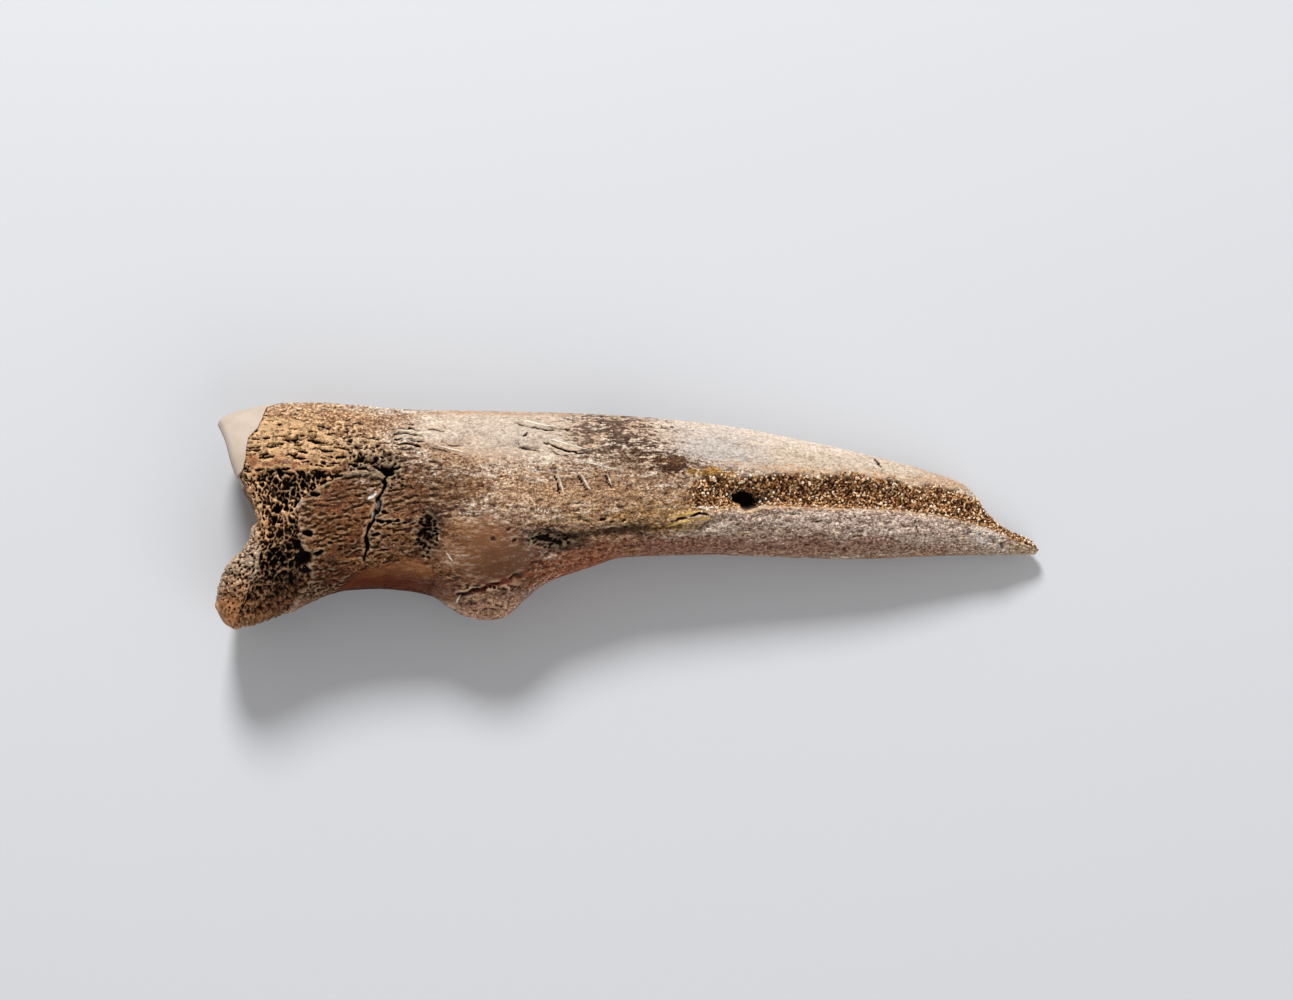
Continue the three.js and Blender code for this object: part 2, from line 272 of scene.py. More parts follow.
# What was lost from the bone. Places are (along, up) in mm as the camera's side sees them.
losses = {
    "spongeEdge": [  # how far along the open spongy bone reaches, for each height
        (0, 3.4), (1.4, 5.3), (2.6, 6.4), (4, 7.0), (5.5, 6.9), (6.5, 6.4), (8, 6.1), (9.5, 6.1),
        (10.6, 6.9), (11.6, 9.0), (12.6, 9.9), (13.6, 9.6), (14.4, 8.8), (15, 8.2), (15.6, 7.2),
        (16.1, 4.6), (16.5, 2.5), (17.2, 2),
    ],
    "lipEdge": [(0, 1.2), (2, 2.1), (5, 3.4), (6.9, 3.6), (8.2, 2.7), (9, 0)],
    "slotsAbove": (11.3, 12.4),
    "pits": [  # place, half size, depth, turn in degrees
        ((6.45, 5.4), (0.62, 0.6), 1.4, 20), ((5.65, 3.75), (0.24, 0.65), 1.0, 8),
        ((6.0, 6.5), (0.25, 0.45), 1.1, 0), ((4.6, 12.0), (0.22, 0.42), 1.0, 28),
        ((6.75, 7.4), (0.4, 0.26), 0.8, -12), ((7.3, 10.4), (0.42, 0.16), 0.7, -6),
        ((7.6, 5.85), (0.42, 0.16), 0.6, 8), ((6.75, 4.4), (0.36, 0.18), 0.7, 22),
        ((8.4, 6.7), (0.17, 0.09), 0.3, 0), ((8.5, 3.4), (0.14, 0.1), 0.3, 0),
        ((12.75, 12.12), (0.56, 0.38), 1.4, -25), ((5.4, 2.2), (0.32, 0.15), 0.5, -8),
        ((4.8, 1.8), (0.3, 0.13), 0.5, 0), ((6.25, 12.0), (0.36, 0.17), 0.8, 0),
        ((7.5, 11.9), (0.42, 0.17), 0.8, -5), ((9.05, 11.75), (0.4, 0.12), 0.6, -4),
        ((5.3, 11.1), (0.4, 0.2), 0.8, -5), ((3.65, 14.6), (0.32, 0.13), 0.7, 0),
        ((5.6, 14.5), (0.8, 0.11), 0.7, -2), ((7.3, 14.4), (0.6, 0.1), 0.6, -4),
        ((7.7, 15.5), (0.28, 0.11), 0.5, 0), ((6.45, 15.95), (0.45, 0.08), 0.4, -2),
        ((4.6, 15.7), (0.18, 0.09), 0.4, 0), ((8.2, 13.6), (0.5, 0.1), 0.5, -6),
        ((9.3, 13.1), (0.45, 0.11), 0.5, -8), ((10.2, 12.6), (0.4, 0.1), 0.4, 5),
        ((24.6, 6.95), (0.7, 0.22), 0.4, -12), ((25.6, 6.65), (0.35, 0.16), 0.4, -15),
        ((18.3, 2.75), (0.4, 0.2), 0.35, 10), ((19.3, 3.1), (0.35, 0.13), 0.3, 20),
        ((20.9, 3.55), (0.4, 0.1), 0.25, 12), ((22.3, 4.1), (0.35, 0.1), 0.25, 25),
        ((29.0, 8.35), (0.25, 0.09), 0.4, 4), ((29.7, 8.3), (0.16, 0.08), 0.35, 0),
        ((30.6, 8.3), (0.14, 0.07), 0.3, 0), ((12.5, 9.0), (0.2, 0.14), 0.4, 0),
        ((10.7, 13.0), (0.35, 0.15), 0.5, 40), ((11.4, 13.7), (0.3, 0.1), 0.4, -10),
        ((11.9, 13.0), (0.25, 0.16), 0.5, 60), ((12.2, 8.3), (0.38, 0.15), 0.6, -4),
        ((12.95, 8.25), (0.24, 0.13), 0.6, 8), ((13.55, 8.3), (0.18, 0.14), 0.5, 0),
        ((14.1, 8.15), (0.16, 0.1), 0.4, 20), ((11.95, 7.25), (0.34, 0.13), 0.5, 12),
        ((12.9, 7.2), (0.14, 0.08), 0.3, 0), ((22.3, 6.9), (0.2, 0.14), 0.2, 0),
        ((20.7, 7.0), (0.26, 0.15), 0.15, -60), ((21.9, 7.7), (0.16, 0.12), 0.15, 0),
        ((9.9, 14.4), (0.3, 0.09), 0.35, 15), ((11.0, 12.3), (0.4, 0.12), 0.5, -20),
        ((12.0, 14.5), (0.22, 0.08), 0.3, 0),
    ],
    "cuts": [  # route, width, depth
        ([(13.3, 12.6), (12.7, 11.8), (12.45, 10.9), (12.15, 10.2), (12.0, 9.3), (11.65, 8.6), (11.4, 7.9),
          (11.2, 7.0), (11.2, 6.1), (11.05, 5.3)], 0.18, 0.8),
        ([(11.8, 12.5), (12.4, 12.15)], 0.14, 0.5), ([(13.2, 12.3), (13.7, 12.4)], 0.14, 0.5),
        ([(11.9, 8.25), (12.8, 8.35), (13.7, 8.25)], 0.06, 0.3), ([(12.1, 6.1), (12.9, 6.15)], 0.07, 0.25),
        ([(13.2, 15.3), (14.2, 15.35), (15.2, 15.15)], 0.11, 0.3),
        ([(13.15, 14.93), (14.3, 14.96), (15.5, 14.73)], 0.12, 0.35),
        ([(13.3, 14.55), (14.5, 14.53), (15.6, 14.33)], 0.12, 0.35),
        ([(13.5, 14.17), (14.6, 14.15), (15.4, 13.95)], 0.11, 0.3),
        ([(13.9, 15.65), (14.8, 15.62)], 0.1, 0.22), ([(13.8, 13.8), (14.8, 13.75)], 0.1, 0.22),
        ([(15.9, 15.3), (17.0, 15.1)], 0.08, 0.16),
        ([(25.36, 11.9), (25.6, 11.1), (25.77, 10.4)], 0.1, 0.25),
        ([(27.1, 11.8), (27.35, 11.2), (27.8, 10.7)], 0.1, 0.25),
        ([(29.2, 11.7), (29.54, 11.0)], 0.09, 0.2), ([(22.4, 14.0), (24.3, 13.6)], 0.08, 0.16),
        ([(22.3, 15.75), (23.5, 15.45), (25.2, 15.2), (26.6, 15.25)], 0.09, 0.22),
        ([(16.9, 14.35), (17.6, 14.0), (18.3, 14.05)], 0.09, 0.18),
        ([(16.2, 13.9), (17.2, 13.6), (18.1, 13.3), (18.7, 13.0)], 0.08, 0.16),
        ([(22.4, 14.6), (22.9, 13.95), (24.2, 13.85)], 0.07, 0.12),
        ([(24.6, 14.3), (26.1, 13.7), (27.6, 13.4)], 0.11, 0.26),
        ([(24.9, 13.7), (25.9, 13.3), (26.6, 13.3)], 0.07, 0.14),
        ([(23.0, 14.75), (23.3, 15.1)], 0.12, 0.22), ([(34.2, 8.2), (34.8, 8.45), (35.3, 8.5)], 0.12, 0.45),
        ([(35.5, 8.6), (36.2, 8.85), (36.9, 8.75)], 0.12, 0.45), ([(49.5, 13.05), (50.1, 12.4)], 0.11, 0.2),
        ([(50.1, 12.2), (50.35, 11.5)], 0.07, 0.14), ([(52.5, 8.7), (52.75, 7.4), (52.5, 6.2)], 0.07, 0.14),
    ],
    "soft": [  # route, half width, depth: shallow troughs, or low ridges where the depth is less than nothing
        ([(1.5, 0.1), (3.9, 0.6), (5.4, 1.5), (6.6, 2.3), (8.4, 3.1), (9.6, 4.2), (11.0, 5.1)], 0.3, -0.2),
        ([(11.0, 5.1), (13.6, 4.6), (16.4, 4.1), (17.6, 2.7)], 0.5, -0.14),
        ([(12.2, 3.6), (14.5, 3.5), (16.2, 3.0)], 0.8, 0.22),
        ([(6.4, 10.6), (7.1, 11.6), (8.4, 11.95), (9.3, 11.7), (10.4, 11.95), (11.5, 11.95), (12.4, 11.5)],
         0.16, -0.24),
        ([(6.3, 10.4), (6.2, 9.0), (6.3, 7.8), (6.7, 6.6)], 0.16, -0.16),
        ([(15.9, 8.9), (15.7, 7.6), (15.4, 6.3)], 0.55, 0.35),
        ([(17.5, 9.6), (19.6, 8.9), (22.0, 8.6), (24.3, 9.2)], 0.3, 0.07),
        ([(24.6, 6.9), (27.0, 7.15), (30.0, 7.6), (33.0, 7.85), (36.4, 7.8), (38.4, 8.6)], 0.32, 0.2),
        ([(26.6, 5.6), (30.5, 6.2), (35.5, 6.5)], 0.7, -0.08),
        ([(17.9, 2.5), (19.6, 3.1), (21.6, 3.7), (23.3, 4.5)], 0.16, 0.16),
        ([(21.6, 3.1), (22.9, 3.7), (24.2, 4.9)], 0.3, -0.1),
        ([(18.6, 6.9), (19.2, 6.6)], 0.25, 0.06), ([(20.6, 7.1), (21.0, 6.7)], 0.2, 0.06),
    ],
    "lumps": [  # place, half size, height: uneven patches
        ((19.8, 1.5), (2.8, 1.3), 0.2), ((10.8, 13.3), (2.1, 1.2), 0.36), ((1.9, 1.9), (2.2, 2.2), 0.16),
        ((15.8, 7.6), (1.0, 1.7), 0.2), ((59.4, 7.2), (3.0, 1.6), 0.09), ((24.9, 6.9), (1.1, 0.6), 0.14),
        ((36.2, 10.4), (2.2, 1.4), 0.1),
    ],
    "pocks": [  # place, half size, depth: patches of small pores
        ((15.75, 7.5), (0.75, 1.8), 0.8), ((25.1, 6.85), (1.6, 0.55), 0.4), ((10.9, 13.2), (2.2, 1.1), 0.5),
        ((20.3, 3.3), (2.6, 0.22), 0.25), ((7.8, 2.9), (2.0, 0.9), 0.22), ((8.8, 15.0), (3.0, 0.8), 0.12),
        ((13.3, 11.2), (1.2, 0.7), 0.25),
    ],
    "grooveUpper": [
        (34.5, 9.9), (36.7, 11.8), (39.4, 11.8), (43.9, 11.85), (47.7, 11.85), (51.4, 11.4), (55.2, 10.8),
        (57.1, 10.1), (58.5, 9.2), (60, 7.8), (62, 6.6),
    ],
    "grooveLower": [
        (34.5, 9.0), (36.5, 9.0), (39.0, 9.25), (41.6, 9.4), (47.7, 9.2), (51.4, 9.05), (53.7, 8.75),
        (56, 8.3), (58.5, 7.55), (60.5, 6.7), (62, 6.15),
    ],
    "grooveDepth": [
        (34.5, 0), (37, 0.35), (39, 0.8), (42, 0.95), (48, 0.95), (53, 0.75), (57, 0.5), (60, 0.22),
        (62, 0),
    ],
    "foramen": ((39.8, 10.05), (0.96, 0.84), 2.0),
    "shadeBesideForamen": ((41.7, 10.2), (2.2, 0.6)),  # painted shade beside the foramen, which also thins the sand grains there; the skin is not sunk
    "resin": ((20.4, 5.8), (4.2, 3.1)),  # old consolidant, which smooths the skin
    "underneathEdge": [(8, 2.7), (9.5, 3.8), (11.1, 4.9), (12.6, 5.3), (14.6, 5.7), (15.6, 5.2), (17.9, 3.2)],
}


def pathDistance(s, t, path):
    best, along = np.full(len(s), 99.0), np.zeros(len(s))
    steps = [math.dist(a, b) for a, b in zip(path, path[1:])]
    gone = 0.0
    for (a, b), step in zip(zip(path, path[1:]), steps):
        ds, dt = (b[0] - a[0]) / step, (b[1] - a[1]) / step
        share = np.clip((s - a[0]) * ds + (t - a[1]) * dt, 0, step)
        away = np.hypot(s - a[0] - share * ds, t - a[1] - share * dt)
        along = np.where(away < best, (gone + share) / sum(steps), along)
        best = np.minimum(best, away)
        gone += step
    return best, along


def ovalPlace(s, t, middle, size):  # 0 in the middle of an oval, 1 on its edge
    return np.hypot((s - middle[0]) / size[0], (t - middle[1]) / size[1])


def pores(p, size, salt, share, low=0.1, high=0.3):
    # rounded hollows between thin walls, in some of the cells
    first, second, own = cells(p, size, salt)
    rounded = ramp(second - first, low, high) * ramp(0.74 - first, 0, 0.26)
    return rounded * (own < share) * (0.55 + 0.45 * own / share)


# The open cells of the spongy bone: sizes along, up and across, and depths, in mm
sponge = {
    "big": (0.6, 0.74, 0.6),
    "medium": (0.4, 0.46, 0.4),
    "small": (0.28, 0.32, 0.28),
    "finest": 0.24,
    "lip": 0.25,
    "slots": (1.3, 0.21, 0.4),
    "sunk": 0.24,
    "depth": 1.05,
}


def spongyBone(flat, s, t):
    # the open cells at the joint end, and which points they take in
    edge = curveThrough(losses["spongeEdge"])(t) + 0.35 * cloud(flat, 1.1, 1, 2) + 0.12 * cloud(flat, 0.35, 6)
    spongy = ramp(edge - s, 0, 0.25)
    lip = ramp(curveThrough(losses["lipEdge"])(t) + 0.2 * cloud(flat, 0.8, 2) - s, 0, 0.5)
    here = np.flatnonzero(spongy > 0)
    warp = 0.1 * np.stack([cloud(flat[here], 0.33, 20 + n) for n in range(3)], axis=1)
    p, lips = flat[here] + warp, lip[here]
    v = flat[here, 1] / depth + 0.5
    fromEdge = s[here] - lines["jointFace"](v) * length
    margin = 1 - ramp(fromEdge + 0.4 * cloud(p, 0.9, 5), 0.5, 1.4)
    above = ramp(t[here] + 0.4 * cloud(p, 0.8, 7), *losses["slotsAbove"])
    coarse = ramp(cloud(p, 1.3, 4, 2), -0.2, 0.3)
    big = pores(p, sponge["big"], 3, 0.9, 0.05, 0.2) * coarse
    big = np.maximum(big, pores(p, sponge["medium"], 36, 0.9, 0.06, 0.24) * (1 - coarse))
    mid = pores(p, sponge["small"], 9, 0.9, 0.08, 0.3)
    layer = cells(p, sponge["slots"], 8)
    share = 0.55 - 0.2 * ramp(t[here], 14, 15.5)
    slot = ramp(layer[1] - layer[0], 0.12, 0.34) * ramp(0.62 - layer[0], 0, 0.2) * (layer[2] < share)
    fine = pores(p, sponge["lip"], 13, 0.65, 0.12, 0.4)
    under = 1 - ramp(t[here] - 0.5 * s[here], -1.5, 0.8)  # finer pores towards the lower lip
    body = np.maximum(big * (1 - margin), mid * (0.45 + 0.5 * margin)) * (1 - 0.6 * under)
    body = np.maximum(body, pores(p, sponge["finest"], 17, 0.7, 0.1, 0.34) * under * 0.8)
    pore = (body * (1 - above) + slot * above * 0.75) * (1 - lips) + fine * lips * 0.5
    hollow = np.zeros(len(s))
    hollow[here] = pore * spongy[here]
    dip = np.zeros(len(s))
    dip[here] = spongy[here] * (sponge["sunk"] * (1 - above) * (1 - lips) + sponge["depth"] * pore)
    return dip, hollow, spongy * (1 - 0.75 * lip)


# How deep the weathering goes over the whole skin, in mm
wear = {
    "fibres": 0.032,
    "threads": 0.03,
    "flakes": 0.05,
    "pits": 0.13,
    "fewerPits": 0.05,  # less than that past the joint end
    "panelPits": 0.15,
    "grain": 0.042,
    "uneven": 0.06,
    "grit": 0.13,
    "clods": 0.1,
}


def relief(points, side, reach):
    # how far each point of the skin sinks, and what lies there
    flat = points.reshape(-1, 3)
    side, reach = side.ravel(), reach.ravel()
    mirrored = flat.copy()
    mirrored[:, 2] += np.where(side < 0, 2 * reach, 0)  # the far side is worked like the near one
    s, t = seenAt(mirrored)
    near = ramp(side * reach, 0.0, 0.5)
    dip, hollow, spongy = spongyBone(flat, s, t)
    ragged = 0.1 * cloud(flat, 0.4, 11, 2), 0.08 * cloud(flat, 0.4, 12, 2)

    for (ps, pt), (rs, rt), deep, turn in losses["pits"]:
        c, n = math.cos(math.radians(turn)), math.sin(math.radians(turn))
        ds, dt = s + ragged[0] - ps, t + ragged[1] - pt
        away = np.hypot((ds * c + dt * n) / rs, (dt * c - ds * n) / rt)
        pit = ramp(1.2 - away, 0, 0.5) * near
        dip = np.maximum(dip, deep * pit)
        hollow = np.maximum(hollow, pit * min(1, deep / 0.6))
    thin = 0.13 * cloud(flat, 0.45, 37, 3), 0.06 * cloud(flat, 0.4, 38, 2)
    swell = 1 + 0.55 * cloud(flat, 0.4, 15, 2)
    for path, across, deep in losses["cuts"]:
        away, along = pathDistance(s + thin[0], t + thin[1], path)
        ends = np.sin(math.pi * np.clip(along, 0.02, 0.98))
        half = across * 0.75 * (0.45 + 0.55 * ends ** 0.5) * swell
        cut = ramp(half * 1.4 - away, 0, half * 0.9 + 0.02) * near
        rim = np.exp(-(((away - half * 1.4 - 0.06) / 0.08) ** 2)) * ends
        dip = np.maximum(dip - min(0.07, 0.25 * deep) * rim * near, deep * cut)
        hollow = np.maximum(hollow, cut * min(1, deep / 0.3))
    for path, half, deep in losses["soft"]:
        away, along = pathDistance(s + 2 * ragged[0], t + ragged[1], path)
        ends = ramp(np.minimum(along, 1 - along), -0.02, 0.12)
        dip = dip + deep * np.exp(-((away / half) ** 2)) * ends * (1 - spongy) * near

    openCells = pores(flat + 0.1 * cloud(flat, 0.3, 30)[:, None], (0.36, 0.26, 0.26), 35, 0.8, 0.12, 0.4)
    for middle, size, deep in losses["pocks"]:
        away = ovalPlace(s, t, middle, size) + 0.25 * cloud(flat, 0.5, 34, 2)
        patch = ramp(1.25 - away, 0, 0.5) * near * (1 - spongy) * openCells
        dip = np.maximum(dip, dip + deep * patch)
        hollow = np.maximum(hollow, 0.7 * patch)

    # sheath groove: steep lower edge, ragged upper edge
    lower = curveThrough(losses["grooveLower"])(s) + 0.05 * cloud(flat, 0.9, 16, 2)
    upper = curveThrough(losses["grooveUpper"])(s) + 0.28 * cloud(flat, (1.0, 0.6, 0.6), 17, 3)
    across = (t - lower) / np.maximum(upper - lower, 0.3)
    started = ramp(s + 0.5 * cloud(flat, 0.6, 33, 2), 33.9, 36.4)
    sand = ramp(across, -0.03, 0.08) * (1 - ramp(across, 0.9, 1.1)) * started
    shape = ramp(across, -0.04, 0.16) * (1 - ramp(across, 0.55, 1.06))
    deep = curveThrough(losses["grooveDepth"])(s)
    grit = wear["grit"] * cloud(flat, 0.27, 18, 2) + wear["clods"] * cloud(flat, 0.8, 19)
    bulk = np.minimum(reach, 1)
    dip = dip + (deep * shape + sand * grit) * bulk
    (fs, ft), (rs, rt), deepest = losses["foramen"]
    away = np.hypot((s - fs) / rs, (t - ft + 0.12 * (s - fs)) / rt) + 0.16 * cloud(flat, 0.45, 39, 2)
    hole = ramp(1.25 - away, 0, 0.5)
    # painted shade beside the foramen: it darkens the colour and clears sand, but sinks nothing
    shadeBesideForamen = ramp(1.2 - ovalPlace(s, t, *losses["shadeBesideForamen"]) + 0.4 * cloud(flat, 0.35, 40, 2), 0, 0.8) * near
    dip = dip + deepest * hole * (0.6 + 0.4 * ramp(fs - s, -0.8, 0.6))
    hollow = np.maximum(hollow, np.maximum(hole, 0.55 * shadeBesideForamen))

    # weathered skin: long fibres, thin flakes, rough patches and a soft unevenness
    resin = ramp(1.1 - ovalPlace(s, t, *losses["resin"]) + 0.22 * cloud(flat, 1.2, 25, 3), 0, 0.6)
    underneath = ramp(curveThrough(losses["underneathEdge"])(s) - t, 0, 0.6) * ramp(18.5 - s, 0, 1)
    whole = (1 - spongy) * (1 - sand) * (1 - 0.9 * resin) * (1 - 0.8 * underneath)
    slanted = flat.copy()
    slanted[:, 1] -= 0.14 * np.minimum(s - 15, 0)
    smooth = np.exp(-(((s - 45) / 11) ** 4)) * ramp(t, 10.5, 12)
    smooth = np.maximum(smooth, 0.8 * np.exp(-(((s - 21.5) / 6) ** 4)) * ramp(t, 12.4, 14))
    smooth = np.maximum(smooth, ramp(t - 16 + 0.075 * np.maximum(s - 12, 0), -1.6, -0.6) * ramp(s, 10, 14))
    fibres = wear["fibres"] * cloud(slanted, (1.2, 0.18, 0.18), 21)
    fibres += wear["threads"] * cloud(slanted, (0.42, 0.15, 0.15), 22)
    flakes = wear["flakes"] * ramp(cloud(slanted, (2.6, 0.8, 0.8), 23, 3), -0.05, 0.05)
    panel = (1 - ramp(s, 13, 18)) * (1 - ramp(t, 11, 13))
    pitted = wear["pits"] - wear["fewerPits"] * ramp(s, 15, 19)
    pitted *= ramp(cloud(slanted, (0.62, 0.26, 0.26), 29, 2), 0.12, 0.5) * (1 - panel)
    pitted += wear["panelPits"] * ramp(cloud(slanted, (0.46, 0.17, 0.17), 45, 2), 0.1, 0.45) * panel
    pitted *= 1 - 0.85 * smooth
    uneven = wear["uneven"] * cloud(flat, (5, 2, 2), 24, 2)
    grain = wear["grain"] * cloud(flat, 0.24, 28)
    rough = (fibres + flakes + pitted + grain) * (0.4 + 0.6 * near) * (1 - 0.6 * smooth)
    dip = dip + (whole * rough + 0.6 * uneven) * bulk
    for middle, size, high in losses["lumps"]:
        inside = ramp(1.2 - ovalPlace(s, t, middle, size), 0, 0.6)
        dip = dip + inside * high * (cloud(flat, 0.6, 26, 2) + 0.5 * cloud(flat, 0.27, 27)) * bulk

    return dip, {
        "hollow": hollow, "spongy": spongy, "sand": sand,
        "resin": resin * near, "underneath": underneath * near,
    }


def cavity(dip):  # what lies lower than its close surroundings, in mm
    soft = dip.copy()
    for _ in range(6):
        soft = (np.roll(soft, 1, 1) + np.roll(soft, -1, 1) + soft) / 3
        soft[1:-1] = (soft[:-2] + soft[2:] + soft[1:-1]) / 3
    return dip - soft


def jointFace(sound, worn, rough=1.0):
    # rows across the joint end, from the near margin to the far one, over two shallow hollows
    half = net["half"]
    near, far = sound[0, 1:half, None], sound[0, :half:-1, None]
    share = np.linspace(0, 1, net["faceColumns"] + 1)[None, 1:-1, None]
    face = near * (1 - share) + far * share
    face += (worn[0, 1:half, None] - near) * np.exp(-14 * share)  # the margin's wear dies away inwards
    face += (worn[0, :half:-1, None] - far) * np.exp(-14 * (1 - share))
    fromRidge = np.abs(2 * share[..., 0] - 1)
    height = np.sin(math.pi * np.arange(1, half) / half)[:, None]
    face[..., 0] += form["cotyle"] * np.sin(math.pi * fromRidge) * height
    flat = face.reshape(-1, 3)
    openCells = pores(flat, 0.42, 31, 0.6, 0.12, 0.45)
    face[..., 0] += rough * (0.22 * openCells + 0.1 * cloud(flat, 1.2, 32, 3)).reshape(face.shape[:2])
    return face, openCells


def netFaces(rings):
    n, half, columns = 2 * net["half"], net["half"], net["faceColumns"]
    ids = np.arange(rings * n).reshape(rings, n)
    a, b = ids[:-1], np.roll(ids, -1, 1)[:-1]
    c, d = np.roll(ids, -1, 1)[1:], ids[1:]
    quads = [np.stack([a, b, c, d], -1).reshape(-1, 4)]
    inner = rings * n + 1 + np.arange((half - 1) * (columns - 1)).reshape(half - 1, columns - 1)
    rows = np.concatenate([ids[0, 1:half, None], inner, ids[0, :half:-1, None]], axis=1)
    quads.append(np.stack([rows[:-1, :-1], rows[:-1, 1:], rows[1:, 1:], rows[1:, :-1]], -1).reshape(-1, 4))
    tip = rings * n
    triangles = [(ids[-1, j], ids[-1, (j + 1) % n], tip) for j in range(n)]
    triangles += [(ids[0, 0], rows[0, k + 1], rows[0, k]) for k in range(columns)]
    triangles += [(ids[0, half], rows[-1, k], rows[-1, k + 1]) for k in range(columns)]
    return np.concatenate(quads).tolist() + [tuple(int(i) for i in t) for t in triangles]


def meshFrom(name, points, faces):  # points in mm
    mesh = bpy.data.meshes.new(name)
    mesh.from_pydata((np.asarray(points) * mm).tolist(), [], faces)
    mesh.validate()
    return mesh


def newObject(name, mesh):
    thing = bpy.data.objects.new(name, mesh)
    bpy.context.scene.collection.objects.link(thing)
    return thing


def baked(thing, name):  # the object with its modifiers applied, as a plain mesh
    bpy.context.view_layer.update()
    evaluated = thing.evaluated_get(bpy.context.evaluated_depsgraph_get())
    mesh = bpy.data.meshes.new_from_object(evaluated)
    bpy.data.objects.remove(thing)
    mesh.name = name
    return newObject(name, mesh)


# The broken corner of the joint end, which the filler takes
breakage = {
    "line": [
        (0.088, 1.06), (0.081, 0.988), (0.062, 0.95), (0.06, 0.89), (0.056, 0.84), (0.044, 0.79),
        (0.0425, 0.7), (0.038, 0.64), (0.03, 0.618), (-0.05, 0.6),
    ],
    "step": 0.14,
    "ragged": 0.1,
    "seam": 0.03,
}


def cornerBlock(name, shift):
    # a thick slab in front of the break, with a ragged wall
    line = np.array(breakage["line"]) * (length, depth) - (length / 2, depth / 2)
    reach = np.r_[0, np.cumsum(np.linalg.norm(np.diff(line, axis=0), axis=1))]
    places = np.linspace(0, reach[-1], int(reach[-1] / breakage["step"]))
    x, y = (np.interp(places, reach, line[:, n]) for n in range(2))
    z = np.arange(-2, width + 2, breakage["step"])
    wall = np.stack(np.broadcast_arrays(x[:, None], y[:, None], z[None, :]), axis=-1)
    ragged = breakage["ragged"] * cloud(wall.reshape(-1, 3), 0.7, 41, 2).reshape(wall.shape[:2])
    wall[..., 0] += ragged - shift
    wall[..., 1] += ragged + shift
    outer = wall.copy()
    outer[..., 0], outer[..., 1] = line[-1, 0] - 3, wall[..., 1] + 0.001
    outer[..., 1] = np.linspace(line[0, 1] + 2, line[-1, 1] - 0.2, len(x))[:, None]
    count, deep = wall.shape[:2]
    ids = np.arange(2 * count * deep).reshape(2, count, deep)
    faces = []
    for sheet, flip in ((ids[0], False), (ids[1], True)):
        quads = np.stack([sheet[:-1, :-1], sheet[1:, :-1], sheet[1:, 1:], sheet[:-1, 1:]], -1).reshape(-1, 4)
        faces += (quads[:, ::-1] if flip else quads).tolist()
    for strip, flip in ((ids[:, 0], True), (ids[:, -1], False), (ids[:, :, 0], False), (ids[:, :, -1], True)):
        quads = np.stack([strip[0, :-1], strip[0, 1:], strip[1, 1:], strip[1, :-1]], -1)
        faces += (quads[:, ::-1] if flip else quads).tolist()
    points = np.concatenate([wall.reshape(-1, 3), outer.reshape(-1, 3)])
    block = newObject(name, meshFrom(name, points, faces))
    recalculateNormals(block.data)
    return block


def recalculateNormals(mesh):
    work = bmesh.new()
    work.from_mesh(mesh)
    bmesh.ops.recalc_face_normals(work, faces=work.faces)
    work.to_mesh(mesh)
    work.free()


def addBoolean(thing, cutter, operation):
    modifier = thing.modifiers.new("cut", "BOOLEAN")
    modifier.operation, modifier.object, modifier.solver = operation, cutter, "MANIFOLD"


def carryMasks(thing, points, masks):
    # the masks of the net, given to the nearest points of the finished mesh
    tree = KDTree(len(points))
    for i, p in enumerate(points):
        tree.insert(p, i)
    tree.balance()
    co = np.empty(len(thing.data.vertices) * 3, np.float32)
    thing.data.vertices.foreach_get("co", co)
    nearest = np.array([tree.find(p)[1] for p in co.reshape(-1, 3) / mm])
    for name, values in masks.items():
        attribute = thing.data.attributes.new(name, "FLOAT", "POINT")
        attribute.data.foreach_set("value", values[nearest].astype(np.float32))


def makeClaw():
    points, side, reach = fineNet()
    normal = outwardNormals(points)
    dip, masks = relief(points, side, reach)
    dip = dip.reshape(reach.shape)
    worn = points - normal * dip[..., None]
    worn[..., 2] = np.maximum(worn[..., 2], 0)
    masks["low"] = cavity(np.minimum(dip, 0.6)).ravel()
    face, openCells = jointFace(points, worn)
    tip = worn[-1].mean(axis=0) + (0.15, 0, 0)
    everything = np.concatenate([worn.reshape(-1, 3), tip[None], face.reshape(-1, 3)])
    more = 1 + face.shape[0] * face.shape[1]
    for name in masks:
        masks[name] = np.r_[masks[name], np.zeros(more)]
    masks["spongy"][-more:] = 0.3
    masks["hollow"][-more + 1:] = 0.5 * openCells
    claw = newObject("claw_bone", meshFrom("claw_bone", everything, netFaces(len(points))))
    recalculateNormals(claw.data)
    print("net", len(everything), "points")

    block = cornerBlock("corner_block", 0)
    addBoolean(claw, block, "DIFFERENCE")
    claw = baked(claw, "claw_bone")
    bpy.data.objects.remove(block)
    print("corner cut", len(claw.data.polygons), "faces")
    triangles = sum(len(face.vertices) - 2 for face in claw.data.polygons)
    modifier = claw.modifiers.new("thin", "DECIMATE")
    modifier.ratio = net["triangles"] / triangles
    modifier.use_collapse_triangulate = True
    claw = baked(claw, "claw_bone")
    print("thinned to", len(claw.data.polygons), "faces")
    carryMasks(claw, everything, masks)
    claw.data.shade_smooth()
    return claw


